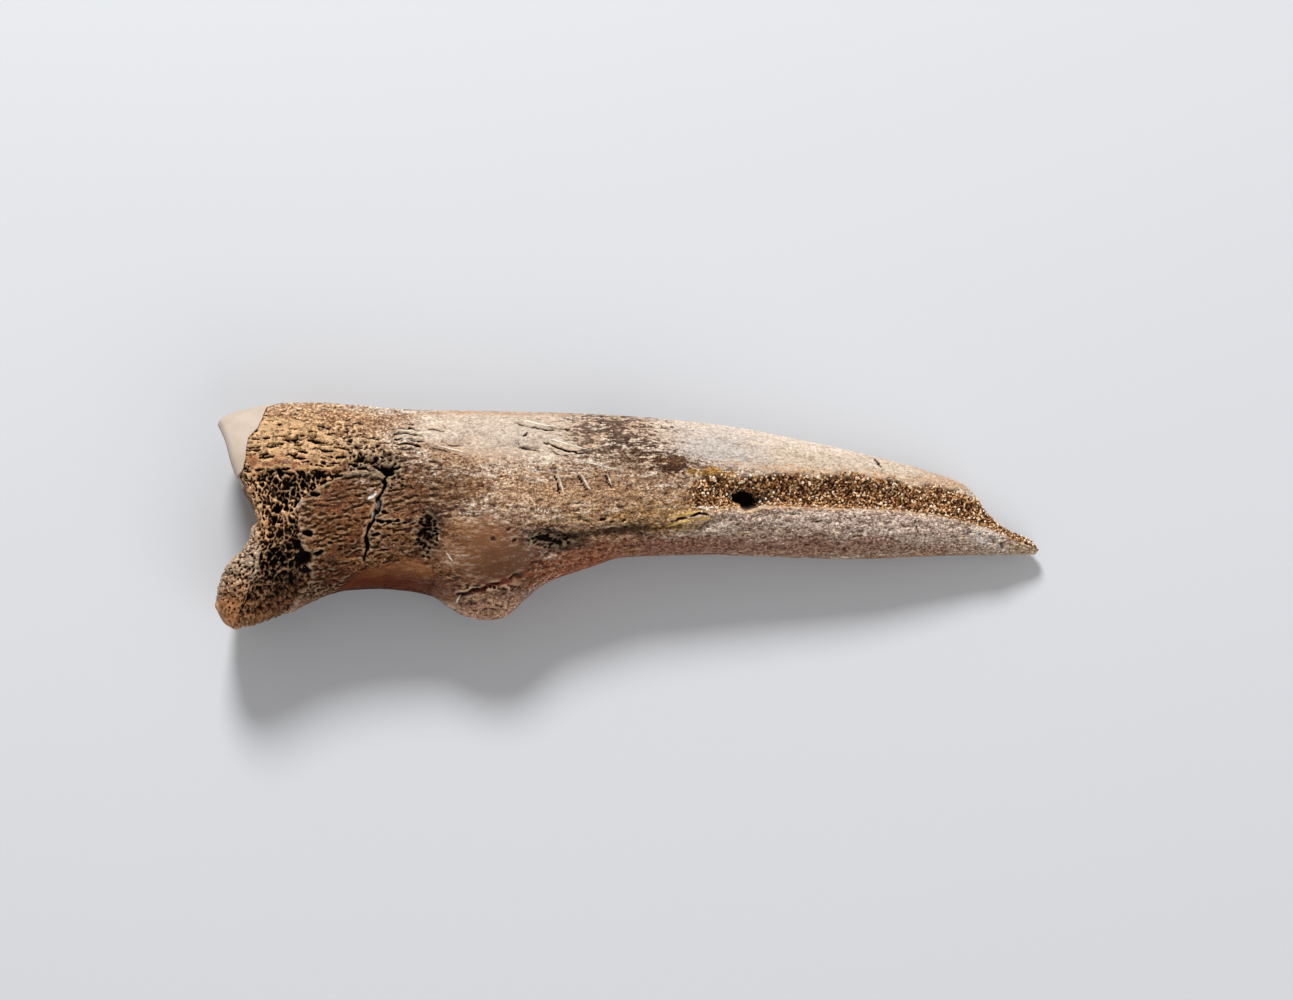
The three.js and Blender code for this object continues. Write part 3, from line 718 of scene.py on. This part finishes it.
def makeFiller():
    # the smooth corner: the sound skin in front of the break
    points, side, reach = fineNet()
    rings = int(np.searchsorted(points[:, 0, 0], 8 - length / 2))
    coarse = points[: rings : 2]
    soft = 0.02 * cloud(coarse.reshape(-1, 3), 1.5, 51, 2).reshape(coarse.shape[:2])
    coarse = coarse + outwardNormals(coarse) * (soft[..., None] + 0.02)
    coarse[..., 2] = np.maximum(coarse[..., 2], 0)
    face, _ = jointFace(coarse, coarse, 0.1)
    middle = coarse[-1].mean(axis=0)
    everything = np.concatenate([coarse.reshape(-1, 3), middle[None], face.reshape(-1, 3)])
    filler = newObject("lip_filler", meshFrom("lip_filler", everything, netFaces(len(coarse))))
    recalculateNormals(filler.data)
    block = cornerBlock("filler_block", breakage["seam"])
    addBoolean(filler, block, "INTERSECT")
    filler = baked(filler, "lip_filler")
    bpy.data.objects.remove(block)
    filler.data.shade_smooth()
    print("filler", len(filler.data.polygons), "faces")
    return filler


# Materials
def tone(r, g, b):  # a colour as a screen shows it, 0 to 255
    shares = (c / 255 for c in (r, g, b))
    return (*(c / 12.92 if c <= 0.04 else ((c + 0.055) / 1.055) ** 2.4 for c in shares), 1.0)


class Wire:
    # wraps a socket, so that shader sums can be written as sums
    def __init__(self, paint, socket):
        self.paint, self.socket = paint, socket

    def sum(self, operation, *others):
        return self.paint.node("ShaderNodeMath", {"operation": operation}, [self, *others])

    def __add__(self, other):
        return self.sum("ADD", other)

    def __mul__(self, other):
        return self.sum("MULTIPLY", other)

    def __sub__(self, other):
        return self.sum("SUBTRACT", other)

    def __rsub__(self, other):
        return self.paint.node("ShaderNodeMath", {"operation": "SUBTRACT"}, [other, self])

    __radd__, __rmul__ = __add__, __mul__

    def most(self, other):
        return self.sum("MAXIMUM", other)

    def between(self, low, high, top=1.0):  # 0 at low, top at high, eased
        return self.paint.node("ShaderNodeMapRange", {"interpolation_type": "SMOOTHSTEP"},
                               {"Value": self, "From Min": low, "From Max": high, "To Max": top})


class Paint:
    def __init__(self, name):
        self.material = bpy.data.materials.new(name)
        self.material.use_nodes = True
        self.tree = self.material.node_tree
        self.surface = self.tree.nodes["Principled BSDF"]
        place = self.node("ShaderNodeTexCoord", output="Object")
        s, t = view["zero"]
        turn = (math.radians(view["elevation"] - 90), 0, math.radians(view["roll"]))
        self.place = self.node("ShaderNodeMapping", {}, {
            "Vector": place, "Location": (s, t, 0), "Rotation": turn, "Scale": (1 / mm,) * 3})

    def node(self, kind, settings=None, sockets=None, output=0):
        made = self.tree.nodes.new(kind)
        for key, value in (settings or {}).items():
            if key == "stops":
                for spare in list(made.color_ramp.elements)[1:]:
                    made.color_ramp.elements.remove(spare)
                for i, (at, colour) in enumerate(value):
                    stop = made.color_ramp.elements[0] if i == 0 else made.color_ramp.elements.new(at)
                    stop.position, stop.color = at, colour
            else:
                setattr(made, key, value)
        pairs = sockets.items() if isinstance(sockets, dict) else enumerate(sockets or ())
        for key, value in pairs:
            self.feed(made.inputs[key], value)
        return Wire(self, made.outputs[output])

    def feed(self, socket, value):
        if isinstance(value, Wire):
            self.tree.links.new(value.socket, socket)
        else:
            socket.default_value = value

    def vector(self, operation, *values):
        return self.node("ShaderNodeVectorMath", {"operation": operation}, values)

    def within(self, place, middle, size, turn):
        # 1 in the middle of an oval, two thirds on its edge, 0 far off
        local = self.node("ShaderNodeMapping", {"vector_type": "TEXTURE"}, {
            "Vector": place, "Location": (*middle, 0), "Rotation": (0, 0, math.radians(turn)),
            "Scale": (3 * size[0], 3 * size[1], 1e6)})
        kind = {"gradient_type": "SPHERICAL"}
        return self.node("ShaderNodeTexGradient", kind, {"Vector": local}, output="Fac")

    def seen(self):  # the place as the camera sees it: what is nearer spreads outwards
        s, t, out = view["aim"]
        fromAim = self.vector("SUBTRACT", self.place, (s, t, out))
        nearer = self.node("ShaderNodeMath", {"operation": "DIVIDE"}, [
            cameraAway, cameraAway - self.node("ShaderNodeSeparateXYZ", {}, [fromAim], output="Z")])
        spread = self.node("ShaderNodeVectorMath", {"operation": "SCALE"}, {
            "Vector": fromAim, "Scale": nearer})
        return self.vector("ADD", spread, (s, t, 0))

    def shifted(self, place, scale, detail, reach):  # the place moved about by noise
        moved = self.node("ShaderNodeTexNoise", {}, {
            "Vector": place, "Scale": scale, "Detail": detail}, output="Color")
        moved = self.vector("SUBTRACT", moved, (0.5, 0.5, 0.5))
        return self.vector("ADD", place, self.vector("MULTIPLY", moved, (*reach, 0.0)))

    def mask(self, name):
        return self.node("ShaderNodeAttribute", {"attribute_name": name}, output="Fac")

    def noise(self, scale, detail=2.0, rough=0.5, stretch=(1, 1, 1), place=None):  # scale in features a mm
        moved = self.node("ShaderNodeMapping", {}, {"Vector": place or self.place, "Scale": stretch})
        return self.node("ShaderNodeTexNoise", {}, {
            "Vector": moved, "Scale": scale, "Detail": detail, "Roughness": rough}, output="Fac")

    def blend(self, amount, under, over, how="MIX"):
        made = self.tree.nodes.new("ShaderNodeMix")
        made.data_type, made.blend_type = "RGBA", how
        for socket, value in ((0, amount), (6, under), (7, over)):
            self.feed(made.inputs[socket], value)
        return Wire(self, made.outputs[2])

    def finish(self, **sockets):
        for key, value in sockets.items():
            self.feed(self.surface.inputs[key.replace("_", " ")], value)
        return self.material


# Places are (along, up) in mm, sizes are half sizes, and tones are as a screen shows them
bone = {
    "base": tone(220, 203, 184),
    "brown": tone(188, 154, 124),
    # next two: dirt with painted shade for what lies low, worn pale rims with painted highlight for what
    # stands up
    "dirtAndShade": tone(44, 25, 13),
    "rimsWornAndLit": tone(232, 200, 160),
    # sand colour in the groove; its darkest stops are painted shade between the grains
    "grit": [
        (0.42, tone(24, 12, 5)), (0.51, tone(72, 42, 20)),
        (0.58, tone(150, 98, 54)), (0.64, tone(222, 176, 126)),
    ],
    # kind 2, the white specks in the crack, is partly glue and partly painted highlight
    "markTones": {1: tone(238, 226, 208), 2: tone(244, 240, 234), 3: tone(238, 196, 112)},
    "stainsAndShade": [
        # place, half size, turn, tone, strength, softness, raggedness
        ((44, 12.9), (12.5, 1.6), -9, (200, 183, 163), 0.9, 0.5, 0.8),
        ((42.5, 14.9), (14.0, 1.0), -9, (224, 209, 194), 0.8, 0.6, 1.2),
        ((37.5, 13.6), (3.5, 1.6), -9, (192, 184, 177), 0.9, 0.5, 1.2),
        ((31.2, 12.6), (3.0, 2.0), -14, (150, 120, 94), 0.75, 0.5, 4.4),
        ((22.5, 14.9), (5.4, 1.6), -2, (190, 174, 158), 0.85, 0.5, 1.2),
        ((23.5, 10.2), (5.6, 1.9), -8, (204, 166, 128), 0.75, 0.6, 2.6),
        ((18.2, 10.9), (2.2, 1.2), -8, (156, 114, 76), 0.75, 0.6, 2.0),
        ((30.5, 10.2), (4.6, 1.6), -4, (186, 148, 112), 0.75, 0.6, 2.4),
        ((33.0, 8.9), (4.4, 0.8), 4, (188, 144, 82), 0.85, 0.6, 2.0),
        ((6.3, 15.4), (5.6, 2.0), -3, (218, 176, 132), 0.95, 0.4, 1.2),
        ((11.2, 13.4), (2.6, 1.5), -12, (236, 202, 164), 0.85, 0.5, 1.2),
        ((9.2, 7.6), (3.4, 4.9), 4, (124, 76, 38), 0.97, 0.25, 0.5),
        ((8.8, 3.7), (4.4, 1.8), 24, (108, 64, 34), 0.9, 0.5, 0.8),
        ((14.0, 8.9), (3.1, 3.9), 0, (124, 78, 40), 0.95, 0.35, 0.9),
        ((17.7, 7.6), (1.2, 2.5), 0, (160, 120, 86), 0.8, 0.5, 1.0),
        # painted shade in the pitted hollow
        ((15.9, 7.4), (1.2, 2.2), -8, (48, 24, 10), 0.95, 0.5, 1.2),
        ((17.2, 10.9), (1.7, 1.6), -20, (118, 84, 54), 0.8, 0.5, 1.4),
        ((12.5, 12.5), (1.4, 1.0), 0, (66, 42, 26), 0.8, 0.6, 1.4),
        ((20.9, 5.9), (4.3, 3.2), 0, (106, 60, 18), 0.95, 0.7, 1.4),
        ((22.4, 4.6), (2.6, 1.5), 20, (84, 44, 15), 0.75, 0.8, 1.4),
        ((29.8, 15.0), (2.5, 1.15), -8, (82, 60, 44), 0.85, 0.3, 5.2),
        ((33.9, 12.8), (2.2, 0.68), -13, (78, 48, 26), 0.95, 0.3, 3.4),
        ((37.4, 11.95), (1.6, 0.4), -5, (190, 142, 58), 0.9, 0.5, 1.0),
        # painted shade in the pitted hollow
        ((25.3, 6.85), (2.2, 0.9), -8, (42, 25, 15), 0.95, 0.5, 1.2),
        # painted shadow along the low trough
        ((31.5, 7.65), (6.2, 0.45), 5, (82, 54, 32), 0.95, 0.6, 1.4),
        ((32.5, 6.3), (7.5, 0.9), 3, (160, 108, 84), 0.9, 0.6, 0.8),
        ((27.0, 4.9), (3.6, 1.2), 16, (172, 102, 66), 0.9, 0.5, 1.6),
        ((20.6, 3.4), (2.8, 0.36), 15, (112, 50, 26), 0.9, 0.6, 1.8),
        ((20.6, 1.4), (3.2, 1.3), 10, (204, 158, 132), 0.9, 0.4, 0.6),
        ((13.2, 4.8), (4.6, 1.5), 2, (140, 92, 56), 0.95, 0.4, 0.5),
        # painted shade and painted reddish reflected light on the underside
        ((13.3, 3.3), (5.6, 1.2), -3, (84, 28, 2), 0.95, 0.7, 0.4),
        ((1.7, 1.7), (2.3, 2.3), -25, (206, 136, 82), 0.9, 0.5, 0.8),
        ((35.4, 8.6), (2.3, 0.7), 10, (222, 176, 98), 0.95, 0.5, 1.6),
        ((43.5, 9.3), (5.0, 0.2), 1, (226, 160, 96), 0.8, 0.6, 1.0),
        ((55.6, 8.05), (4.0, 0.42), -15, (236, 194, 144), 0.85, 0.5, 1.6),
        ((48.5, 8.2), (12.0, 1.0), -2, (222, 202, 188), 0.9, 0.5, 1.4),
        ((44.5, 6.4), (12.5, 0.75), 1, (164, 120, 98), 0.8, 0.7, 1.4),
        ((47.5, 11.8), (8.0, 0.3), -5, (206, 160, 114), 0.5, 0.8, 4.6),
        ((53.5, 7.5), (5.0, 1.0), -8, (230, 208, 192), 0.8, 0.5, 1.2),
        ((58.2, 7.1), (1.7, 0.7), -18, (234, 224, 214), 0.9, 0.4, 1.4),
        ((60.9, 6.1), (1.3, 0.7), -28, (214, 190, 160), 0.85, 0.5, 1.4),
    ],
    "marks": [
        # place, half size, turn, kind: thin scratches, pale on their raised side
        ((25.82, 11.15), (0.8, 0.08), -72, 1), ((27.72, 11.25), (0.8, 0.09), -58, 1),
        ((29.52, 11.4), (0.5, 0.07), -68, 1), ((24.1, 15.68), (1.6, 0.07), -12, 1),
        ((23.05, 14.95), (0.3, 0.06), 55, 1), ((26.3, 14.15), (1.8, 0.07), -16, 1),
        ((28.7, 12.55), (1.5, 0.08), -15, 1), ((17.6, 13.75), (1.3, 0.06), -14, 1),
        ((19.85, 12.4), (0.35, 0.05), -62, 1), ((17.45, 5.6), (0.45, 0.06), -55, 1),
        ((18.1, 2.45), (0.42, 0.07), 62, 1), ((24.15, 9.15), (0.17, 0.05), 65, 1),
        ((24.4, 9.1), (0.17, 0.05), 65, 1), ((24.65, 9.05), (0.17, 0.05), 65, 1),
        ((24.9, 9.0), (0.17, 0.05), 65, 1), ((34.9, 8.2), (1.2, 0.09), 16, 3),
        ((36.5, 8.45), (0.8, 0.08), 4, 3), ((11.6, 10.15), (0.42, 0.15), 35, 2),
        ((12.05, 9.5), (0.16, 0.4), -12, 2), ((11.7, 8.75), (0.14, 0.28), -20, 2),
        ((14.2, 15.15), (0.9, 0.05), -3, 1), ((14.4, 14.8), (1.0, 0.05), -6, 1),
        ((14.4, 14.45), (1.0, 0.05), -6, 1), ((36.9, 9.35), (0.8, 0.12), 2, 2),
        ((35.2, 8.8), (1.3, 0.1), 14, 3),
    ],
}


def boneMaterial():
    paint = Paint("fossilBone")
    place, seen = paint.place, paint.seen()
    bent, nudged = paint.shifted(seen, 0.9, 4.0, (2.0, 1.0)), paint.shifted(seen, 3.0, 2.0, (0.18, 0.18))
    spongy, hollow, sand, resin, low, underneath = (
        paint.mask(name) for name in ("spongy", "hollow", "sand", "resin", "low", "underneath"))
    bar = paint.within(seen, (46, 13.0), (14, 1.75), -9)
    bar = bar.most(paint.within(seen, (21.5, 14.9), (6.5, 1.9), -3))
    early = paint.node("ShaderNodeSeparateXYZ", {}, [seen], output="X").between(19.0, 14.0)
    calm = (1 - resin * 0.8) * (1 - underneath * 0.75) * (1 - bar.between(0.55, 0.72) * 0.55) * (1 - sand)
    calm = calm * (0.9 + early * 0.1)

    # grain of the bone: long streaks, short dashes and a salt and pepper speckle; the pale specks are partly
    # pale grain, partly painted highlight
    streak = paint.noise(3.0, 4, 0.7, (0.18, 1, 1)).between(0.36, 0.64)
    dash = paint.noise(4.4, 3, 0.7, (0.42, 1, 1)).between(0.38, 0.62)
    speckle = paint.noise(6.2, 2.5, 0.7, (0.75, 1, 1))
    pepper = speckle.between(0.545, 0.62)
    salt = (1 - speckle).between(0.545, 0.62)
    rag = (dash - 0.5) * 0.6 + (streak - 0.5) * 0.6

    browned = paint.noise(0.3, 5, 0.6, (0.4, 1, 1)).between(0.44, 0.6)
    colour = paint.blend(browned, bone["base"], bone["brown"])
    for (s, t), (rs, rt), turn, shade, strength, soft, ragged in bone["stainsAndShade"]:
        inside = rag.sum("MULTIPLY_ADD", -ragged / 6, paint.within(bent, (s, t), (rs, rt), turn))
        inside = inside.between((2 - soft) / 3, (2 + soft) / 3, strength)
        colour = paint.blend(inside, colour, tone(*shade))
    mottle = paint.noise(1.2, 4, 0.65, (0.5, 1, 1))
    soiled = paint.blend(1.0, colour, tone(122, 80, 52), "MULTIPLY")
    # a brighter copy of the colour: painted highlight for the pale specks
    lit = paint.vector("MULTIPLY", colour, (1.75, 1.75, 1.7))
    colour = paint.blend(mottle.between(0.48, 0.66) * (0.3 + 0.7 * calm) * 0.4, colour, soiled)
    blot = paint.noise(2.5, 3, 0.7, (0.55, 1, 1))
    colour = paint.blend(blot.between(0.53, 0.64) * calm * 0.6, colour, soiled)
    colour = paint.blend((1 - dash) * calm * 0.5, colour, soiled)
    colour = paint.blend((1 - streak) * calm * 0.25, colour, soiled)
    colour = paint.blend(pepper * calm * 0.95, colour, soiled)
    colour = paint.blend(salt * calm * 0.8, colour, lit)

    # dirt and painted shade in what lies low, worn pale rims and painted highlights on what stands up
    dirtAndShade = low.between(0.01, 0.075) * (0.76 + early * 0.18)
    colour = paint.blend(dirtAndShade, colour, bone["dirtAndShade"])
    # painted highlight, with some wear, on what stands up
    rimsWornAndLit = (low * -1).between(0.012, 0.09) * (0.48 - 0.14 * early + 0.24 * spongy) * (1 - underneath)
    colour = paint.blend(rimsWornAndLit, colour, bone["rimsWornAndLit"])
    # painted shade in two pitted hollows
    shadedHollows = paint.within(bent, (15.8, 7.5), (0.9, 2.0), -8)
    shadedHollows = shadedHollows.most(paint.within(bent, (26.0, 6.85), (2.6, 0.75), 2))
    colour = paint.blend(shadedHollows.between(0.62, 0.8, 0.6), colour, tone(40, 18, 8))

    # open spongy bone, with painted highlights on the struts and painted shade in the pores and lower parts
    strut = paint.blend(paint.noise(1.3, 5, 0.7).between(0.4, 0.6), tone(170, 107, 62), tone(90, 44, 20))
    golden = paint.within(bent, (6.6, 15.3), (5.2, 2.3), -4).between(0.6, 0.76)
    strut = paint.blend(golden * 0.9, strut, tone(216, 176, 130))
    # painted highlight on what stands up among the struts
    strut = paint.blend((low * -1).between(0.0, 0.1) * 0.8, strut, tone(240, 192, 142))
    # painted shade, darker towards the lower part of the spongy bone
    shadedLowSponge = paint.within(bent, (5.4, 4.0), (2.2, 3.6), -18).between(0.5, 0.8, 0.65)
    strut = paint.blend(shadedLowSponge, strut, tone(74, 38, 18))
    lower = paint.within(bent, (4.4, 1.6), (3.8, 1.7), 24).between(0.5, 0.76, 0.5)
    strut = paint.blend(lower, strut, tone(112, 60, 30))
    # painted shade in what lies low among the struts
    strut = paint.blend(low.between(-0.01, 0.06), strut, tone(62, 34, 18))
    spread = {"Vector": place, "Scale": 3.4}
    fine = paint.node("ShaderNodeTexVoronoi", {"feature": "DISTANCE_TO_EDGE"}, spread)
    own = paint.node("ShaderNodeTexVoronoi", {}, spread, output="Color")
    kept = paint.node("ShaderNodeSeparateColor", {}, [own], output="Red").between(0.5, 0.42)
    fine = fine.between(0.06, 0.16) * kept * spongy * 0.7
    colour = paint.blend(spongy * 0.92, colour, strut)
    # painted shade inside the fine pores
    colour = paint.blend(fine * 0.75, colour, tone(44, 24, 12))
    # painted shade in pores, pits, cracks, the foramen and beside it
    colour = paint.blend(hollow.between(0.12, 0.6), colour, tone(24, 12, 6))
    # sand colour with painted shade between the grains
    grit = paint.node("ShaderNodeValToRGB", {"stops": bone["grit"]}, [paint.noise(5.0, 2, 0.6)])
    colour = paint.blend(sand * (1 - hollow.between(0.3, 0.8)), colour, grit)

    # scratches, and white specks of old glue that are partly painted glints
    height = (speckle - 0.5) * calm * 2.2 + (dash + streak) * calm * 0.3 - fine * 0.8
    for (s, t), size, turn, kind in bone["marks"]:
        mark = paint.within(nudged, (s, t), size, turn).between(0.6, 0.77, 0.8)
        colour = paint.blend(mark, colour, bone["markTones"][kind])
        height = mark.sum("MULTIPLY_ADD", 0.9 * min(kind, 1), height)

    roughness = 0.66 - resin * 0.26 + underneath * 0.24 + spongy * 0.12 + sand * 0.3 + (dash - 0.5) * 0.14
    bump = paint.node("ShaderNodeBump", {}, {
        "Height": height, "Strength": 1.0, "Distance": 0.13 * mm}, output="Normal")
    return paint.finish(Base_Color=colour, Roughness=roughness, Normal=bump, Specular_IOR_Level=0.16)


def fillerMaterial():
    paint = Paint("creamFiller")
    soft = paint.noise(0.5, 4, 0.6)
    colour = paint.blend(soft.between(0.35, 0.7), tone(181, 165, 151), tone(172, 154, 137))
    grains = paint.noise(6.5, 3, 0.75)
    up = paint.node("ShaderNodeSeparateXYZ", {}, [paint.place], output="Y")
    specks = grains.between(0.56, 0.72) * (1 - up.between(12.5, 14.5)) * 0.45
    colour = paint.blend(specks, colour, tone(160, 134, 110))
    bump = paint.node("ShaderNodeBump", {}, {
        "Height": grains, "Strength": 0.25, "Distance": 0.03 * mm}, output="Normal")
    return paint.finish(Base_Color=colour, Roughness=0.62 + 0.1 * soft, Normal=bump)


# Sand held in the groove
sand = {
    "perSquareMm": 21.0,
    "size": 0.19,
    "grow": (0.22, 0.74),
    "seed": 7,
    "tones": [
        (0.0, tone(58, 32, 16)), (0.3, tone(136, 86, 44)), (0.55, tone(190, 138, 84)),
        (0.78, tone(232, 198, 154)), (0.95, tone(238, 224, 200)),
    ],
}


def sandTree(material):
    tree = bpy.data.node_groups.new("sandGrains", "GeometryNodeTree")
    face = tree.interface
    face.new_socket("Geometry", in_out="INPUT", socket_type="NodeSocketGeometry")
    for name, kind in (("Density", "Float"), ("Grain Size", "Float"), ("Seed", "Int")):
        face.new_socket(name, in_out="INPUT", socket_type="NodeSocket" + kind)
    face.new_socket("Geometry", in_out="OUTPUT", socket_type="NodeSocketGeometry")
    add, link = tree.nodes.new, tree.links.new
    start, end = add("NodeGroupInput"), add("NodeGroupOutput")

    clear = add("ShaderNodeMath")
    clear.operation = "SUBTRACT"
    clear.use_clamp = True
    for i, name in enumerate(("sand", "hollow")):
        mask = add("GeometryNodeInputNamedAttribute")
        mask.data_type = "FLOAT"
        mask.inputs["Name"].default_value = name
        link(mask.outputs["Attribute"], clear.inputs[i])
    density = add("ShaderNodeMath")
    density.operation = "MULTIPLY"
    link(clear.outputs[0], density.inputs[0])
    link(start.outputs["Density"], density.inputs[1])

    scatter = add("GeometryNodeDistributePointsOnFaces")
    link(start.outputs["Geometry"], scatter.inputs["Mesh"])
    link(density.outputs[0], scatter.inputs["Density"])
    link(start.outputs["Seed"], scatter.inputs["Seed"])
    grain = add("GeometryNodeMeshIcoSphere")
    grain.inputs["Subdivisions"].default_value = 1
    link(start.outputs["Grain Size"], grain.inputs["Radius"])
    turn, grow, tint = (add("FunctionNodeRandomValue") for _ in range(3))
    turn.data_type = grow.data_type = "FLOAT_VECTOR"
    turn.inputs["Max"].default_value = (math.tau,) * 3
    for limit, share in zip(("Min", "Max"), sand["grow"]):
        grow.inputs[limit].default_value = (share,) * 3
    place = add("GeometryNodeInstanceOnPoints")
    link(scatter.outputs["Points"], place.inputs["Points"])
    link(grain.outputs["Mesh"], place.inputs["Instance"])
    link(turn.outputs["Value"], place.inputs["Rotation"])
    link(grow.outputs["Value"], place.inputs["Scale"])
    store = add("GeometryNodeStoreNamedAttribute")
    store.data_type, store.domain = "FLOAT", "INSTANCE"
    store.inputs["Name"].default_value = "tint"
    link(place.outputs["Instances"], store.inputs["Geometry"])
    link(tint.outputs[1], store.inputs["Value"])
    real = add("GeometryNodeRealizeInstances")
    link(store.outputs["Geometry"], real.inputs["Geometry"])
    dress = add("GeometryNodeSetMaterial")
    dress.inputs["Material"].default_value = material
    link(real.outputs["Geometry"], dress.inputs["Geometry"])
    link(dress.outputs["Geometry"], end.inputs["Geometry"])
    return tree


def sandMaterial():
    paint = Paint("sandGrains")
    colour = paint.node("ShaderNodeValToRGB", {"stops": sand["tones"]}, [paint.mask("tint")])
    return paint.finish(Base_Color=colour, Roughness=0.7 + 0.2 * paint.noise(5.0))


def makeSand(claw):
    grains = newObject("groove_sand", claw.data.copy())
    tree = sandTree(sandMaterial())
    modifier = grains.modifiers.new("sand", "NODES")
    modifier.node_group = tree
    values = {"Density": sand["perSquareMm"] / mm**2, "Grain Size": sand["size"] * mm, "Seed": sand["seed"]}
    for item in tree.interface.items_tree:
        if item.in_out == "INPUT" and item.name in values:
            modifier[item.identifier] = values[item.name]
    grains = baked(grains, "groove_sand")
    print("sand", len(grains.data.polygons), "faces")
    return grains


claw = makeClaw()
claw.data.materials.clear()
claw.data.materials.append(boneMaterial())
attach(claw, "root")
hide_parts("fossil_claw")

filler = makeFiller()
filler.data.materials.clear()
filler.data.materials.append(fillerMaterial())
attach(filler, "root")
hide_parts("restored_lip")

grains = makeSand(claw)
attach(grains, "root")


# Floor and light
def addStage():
    reach, low = 900, -0.02
    corners = [(x * reach, y * reach, low) for x, y in ((-1, -1), (1, -1), (1, 1), (-1, 1))]
    floor = newObject("floor", meshFrom("floor", corners, [(0, 1, 2, 3)]))
    paint = Paint("paleFloor")
    floor.data.materials.append(paint.finish(Base_Color=tone(192, 194, 198), Roughness=0.9))


def addLight(name, place, size, power, shade=(1, 1, 1)):
    data = bpy.data.lights.new(name, "AREA")
    data.shape, data.size, data.energy, data.color = "DISK", size, power, shade
    lamp = bpy.data.objects.new(name, data)
    bpy.context.scene.collection.objects.link(lamp)
    lamp.location = place
    lamp.rotation_euler = (Vector((0, 0, 0)) - Vector(place)).to_track_quat("-Z", "Y").to_euler()


addStage()
addLight("key", (-0.07, 0.35, 0.3), 0.13, 2.6)
addLight("fill", (0.22, -0.36, 0.36), 0.5, 1.1)
world = bpy.data.worlds.new("world")
bpy.context.scene.world = world
world.use_nodes = True
world.node_tree.nodes["Background"].inputs["Color"].default_value = (1.0, 0.98, 0.96, 1)
world.node_tree.nodes["Background"].inputs["Strength"].default_value = 0.41
bpy.context.scene.view_settings.view_transform = "Standard"
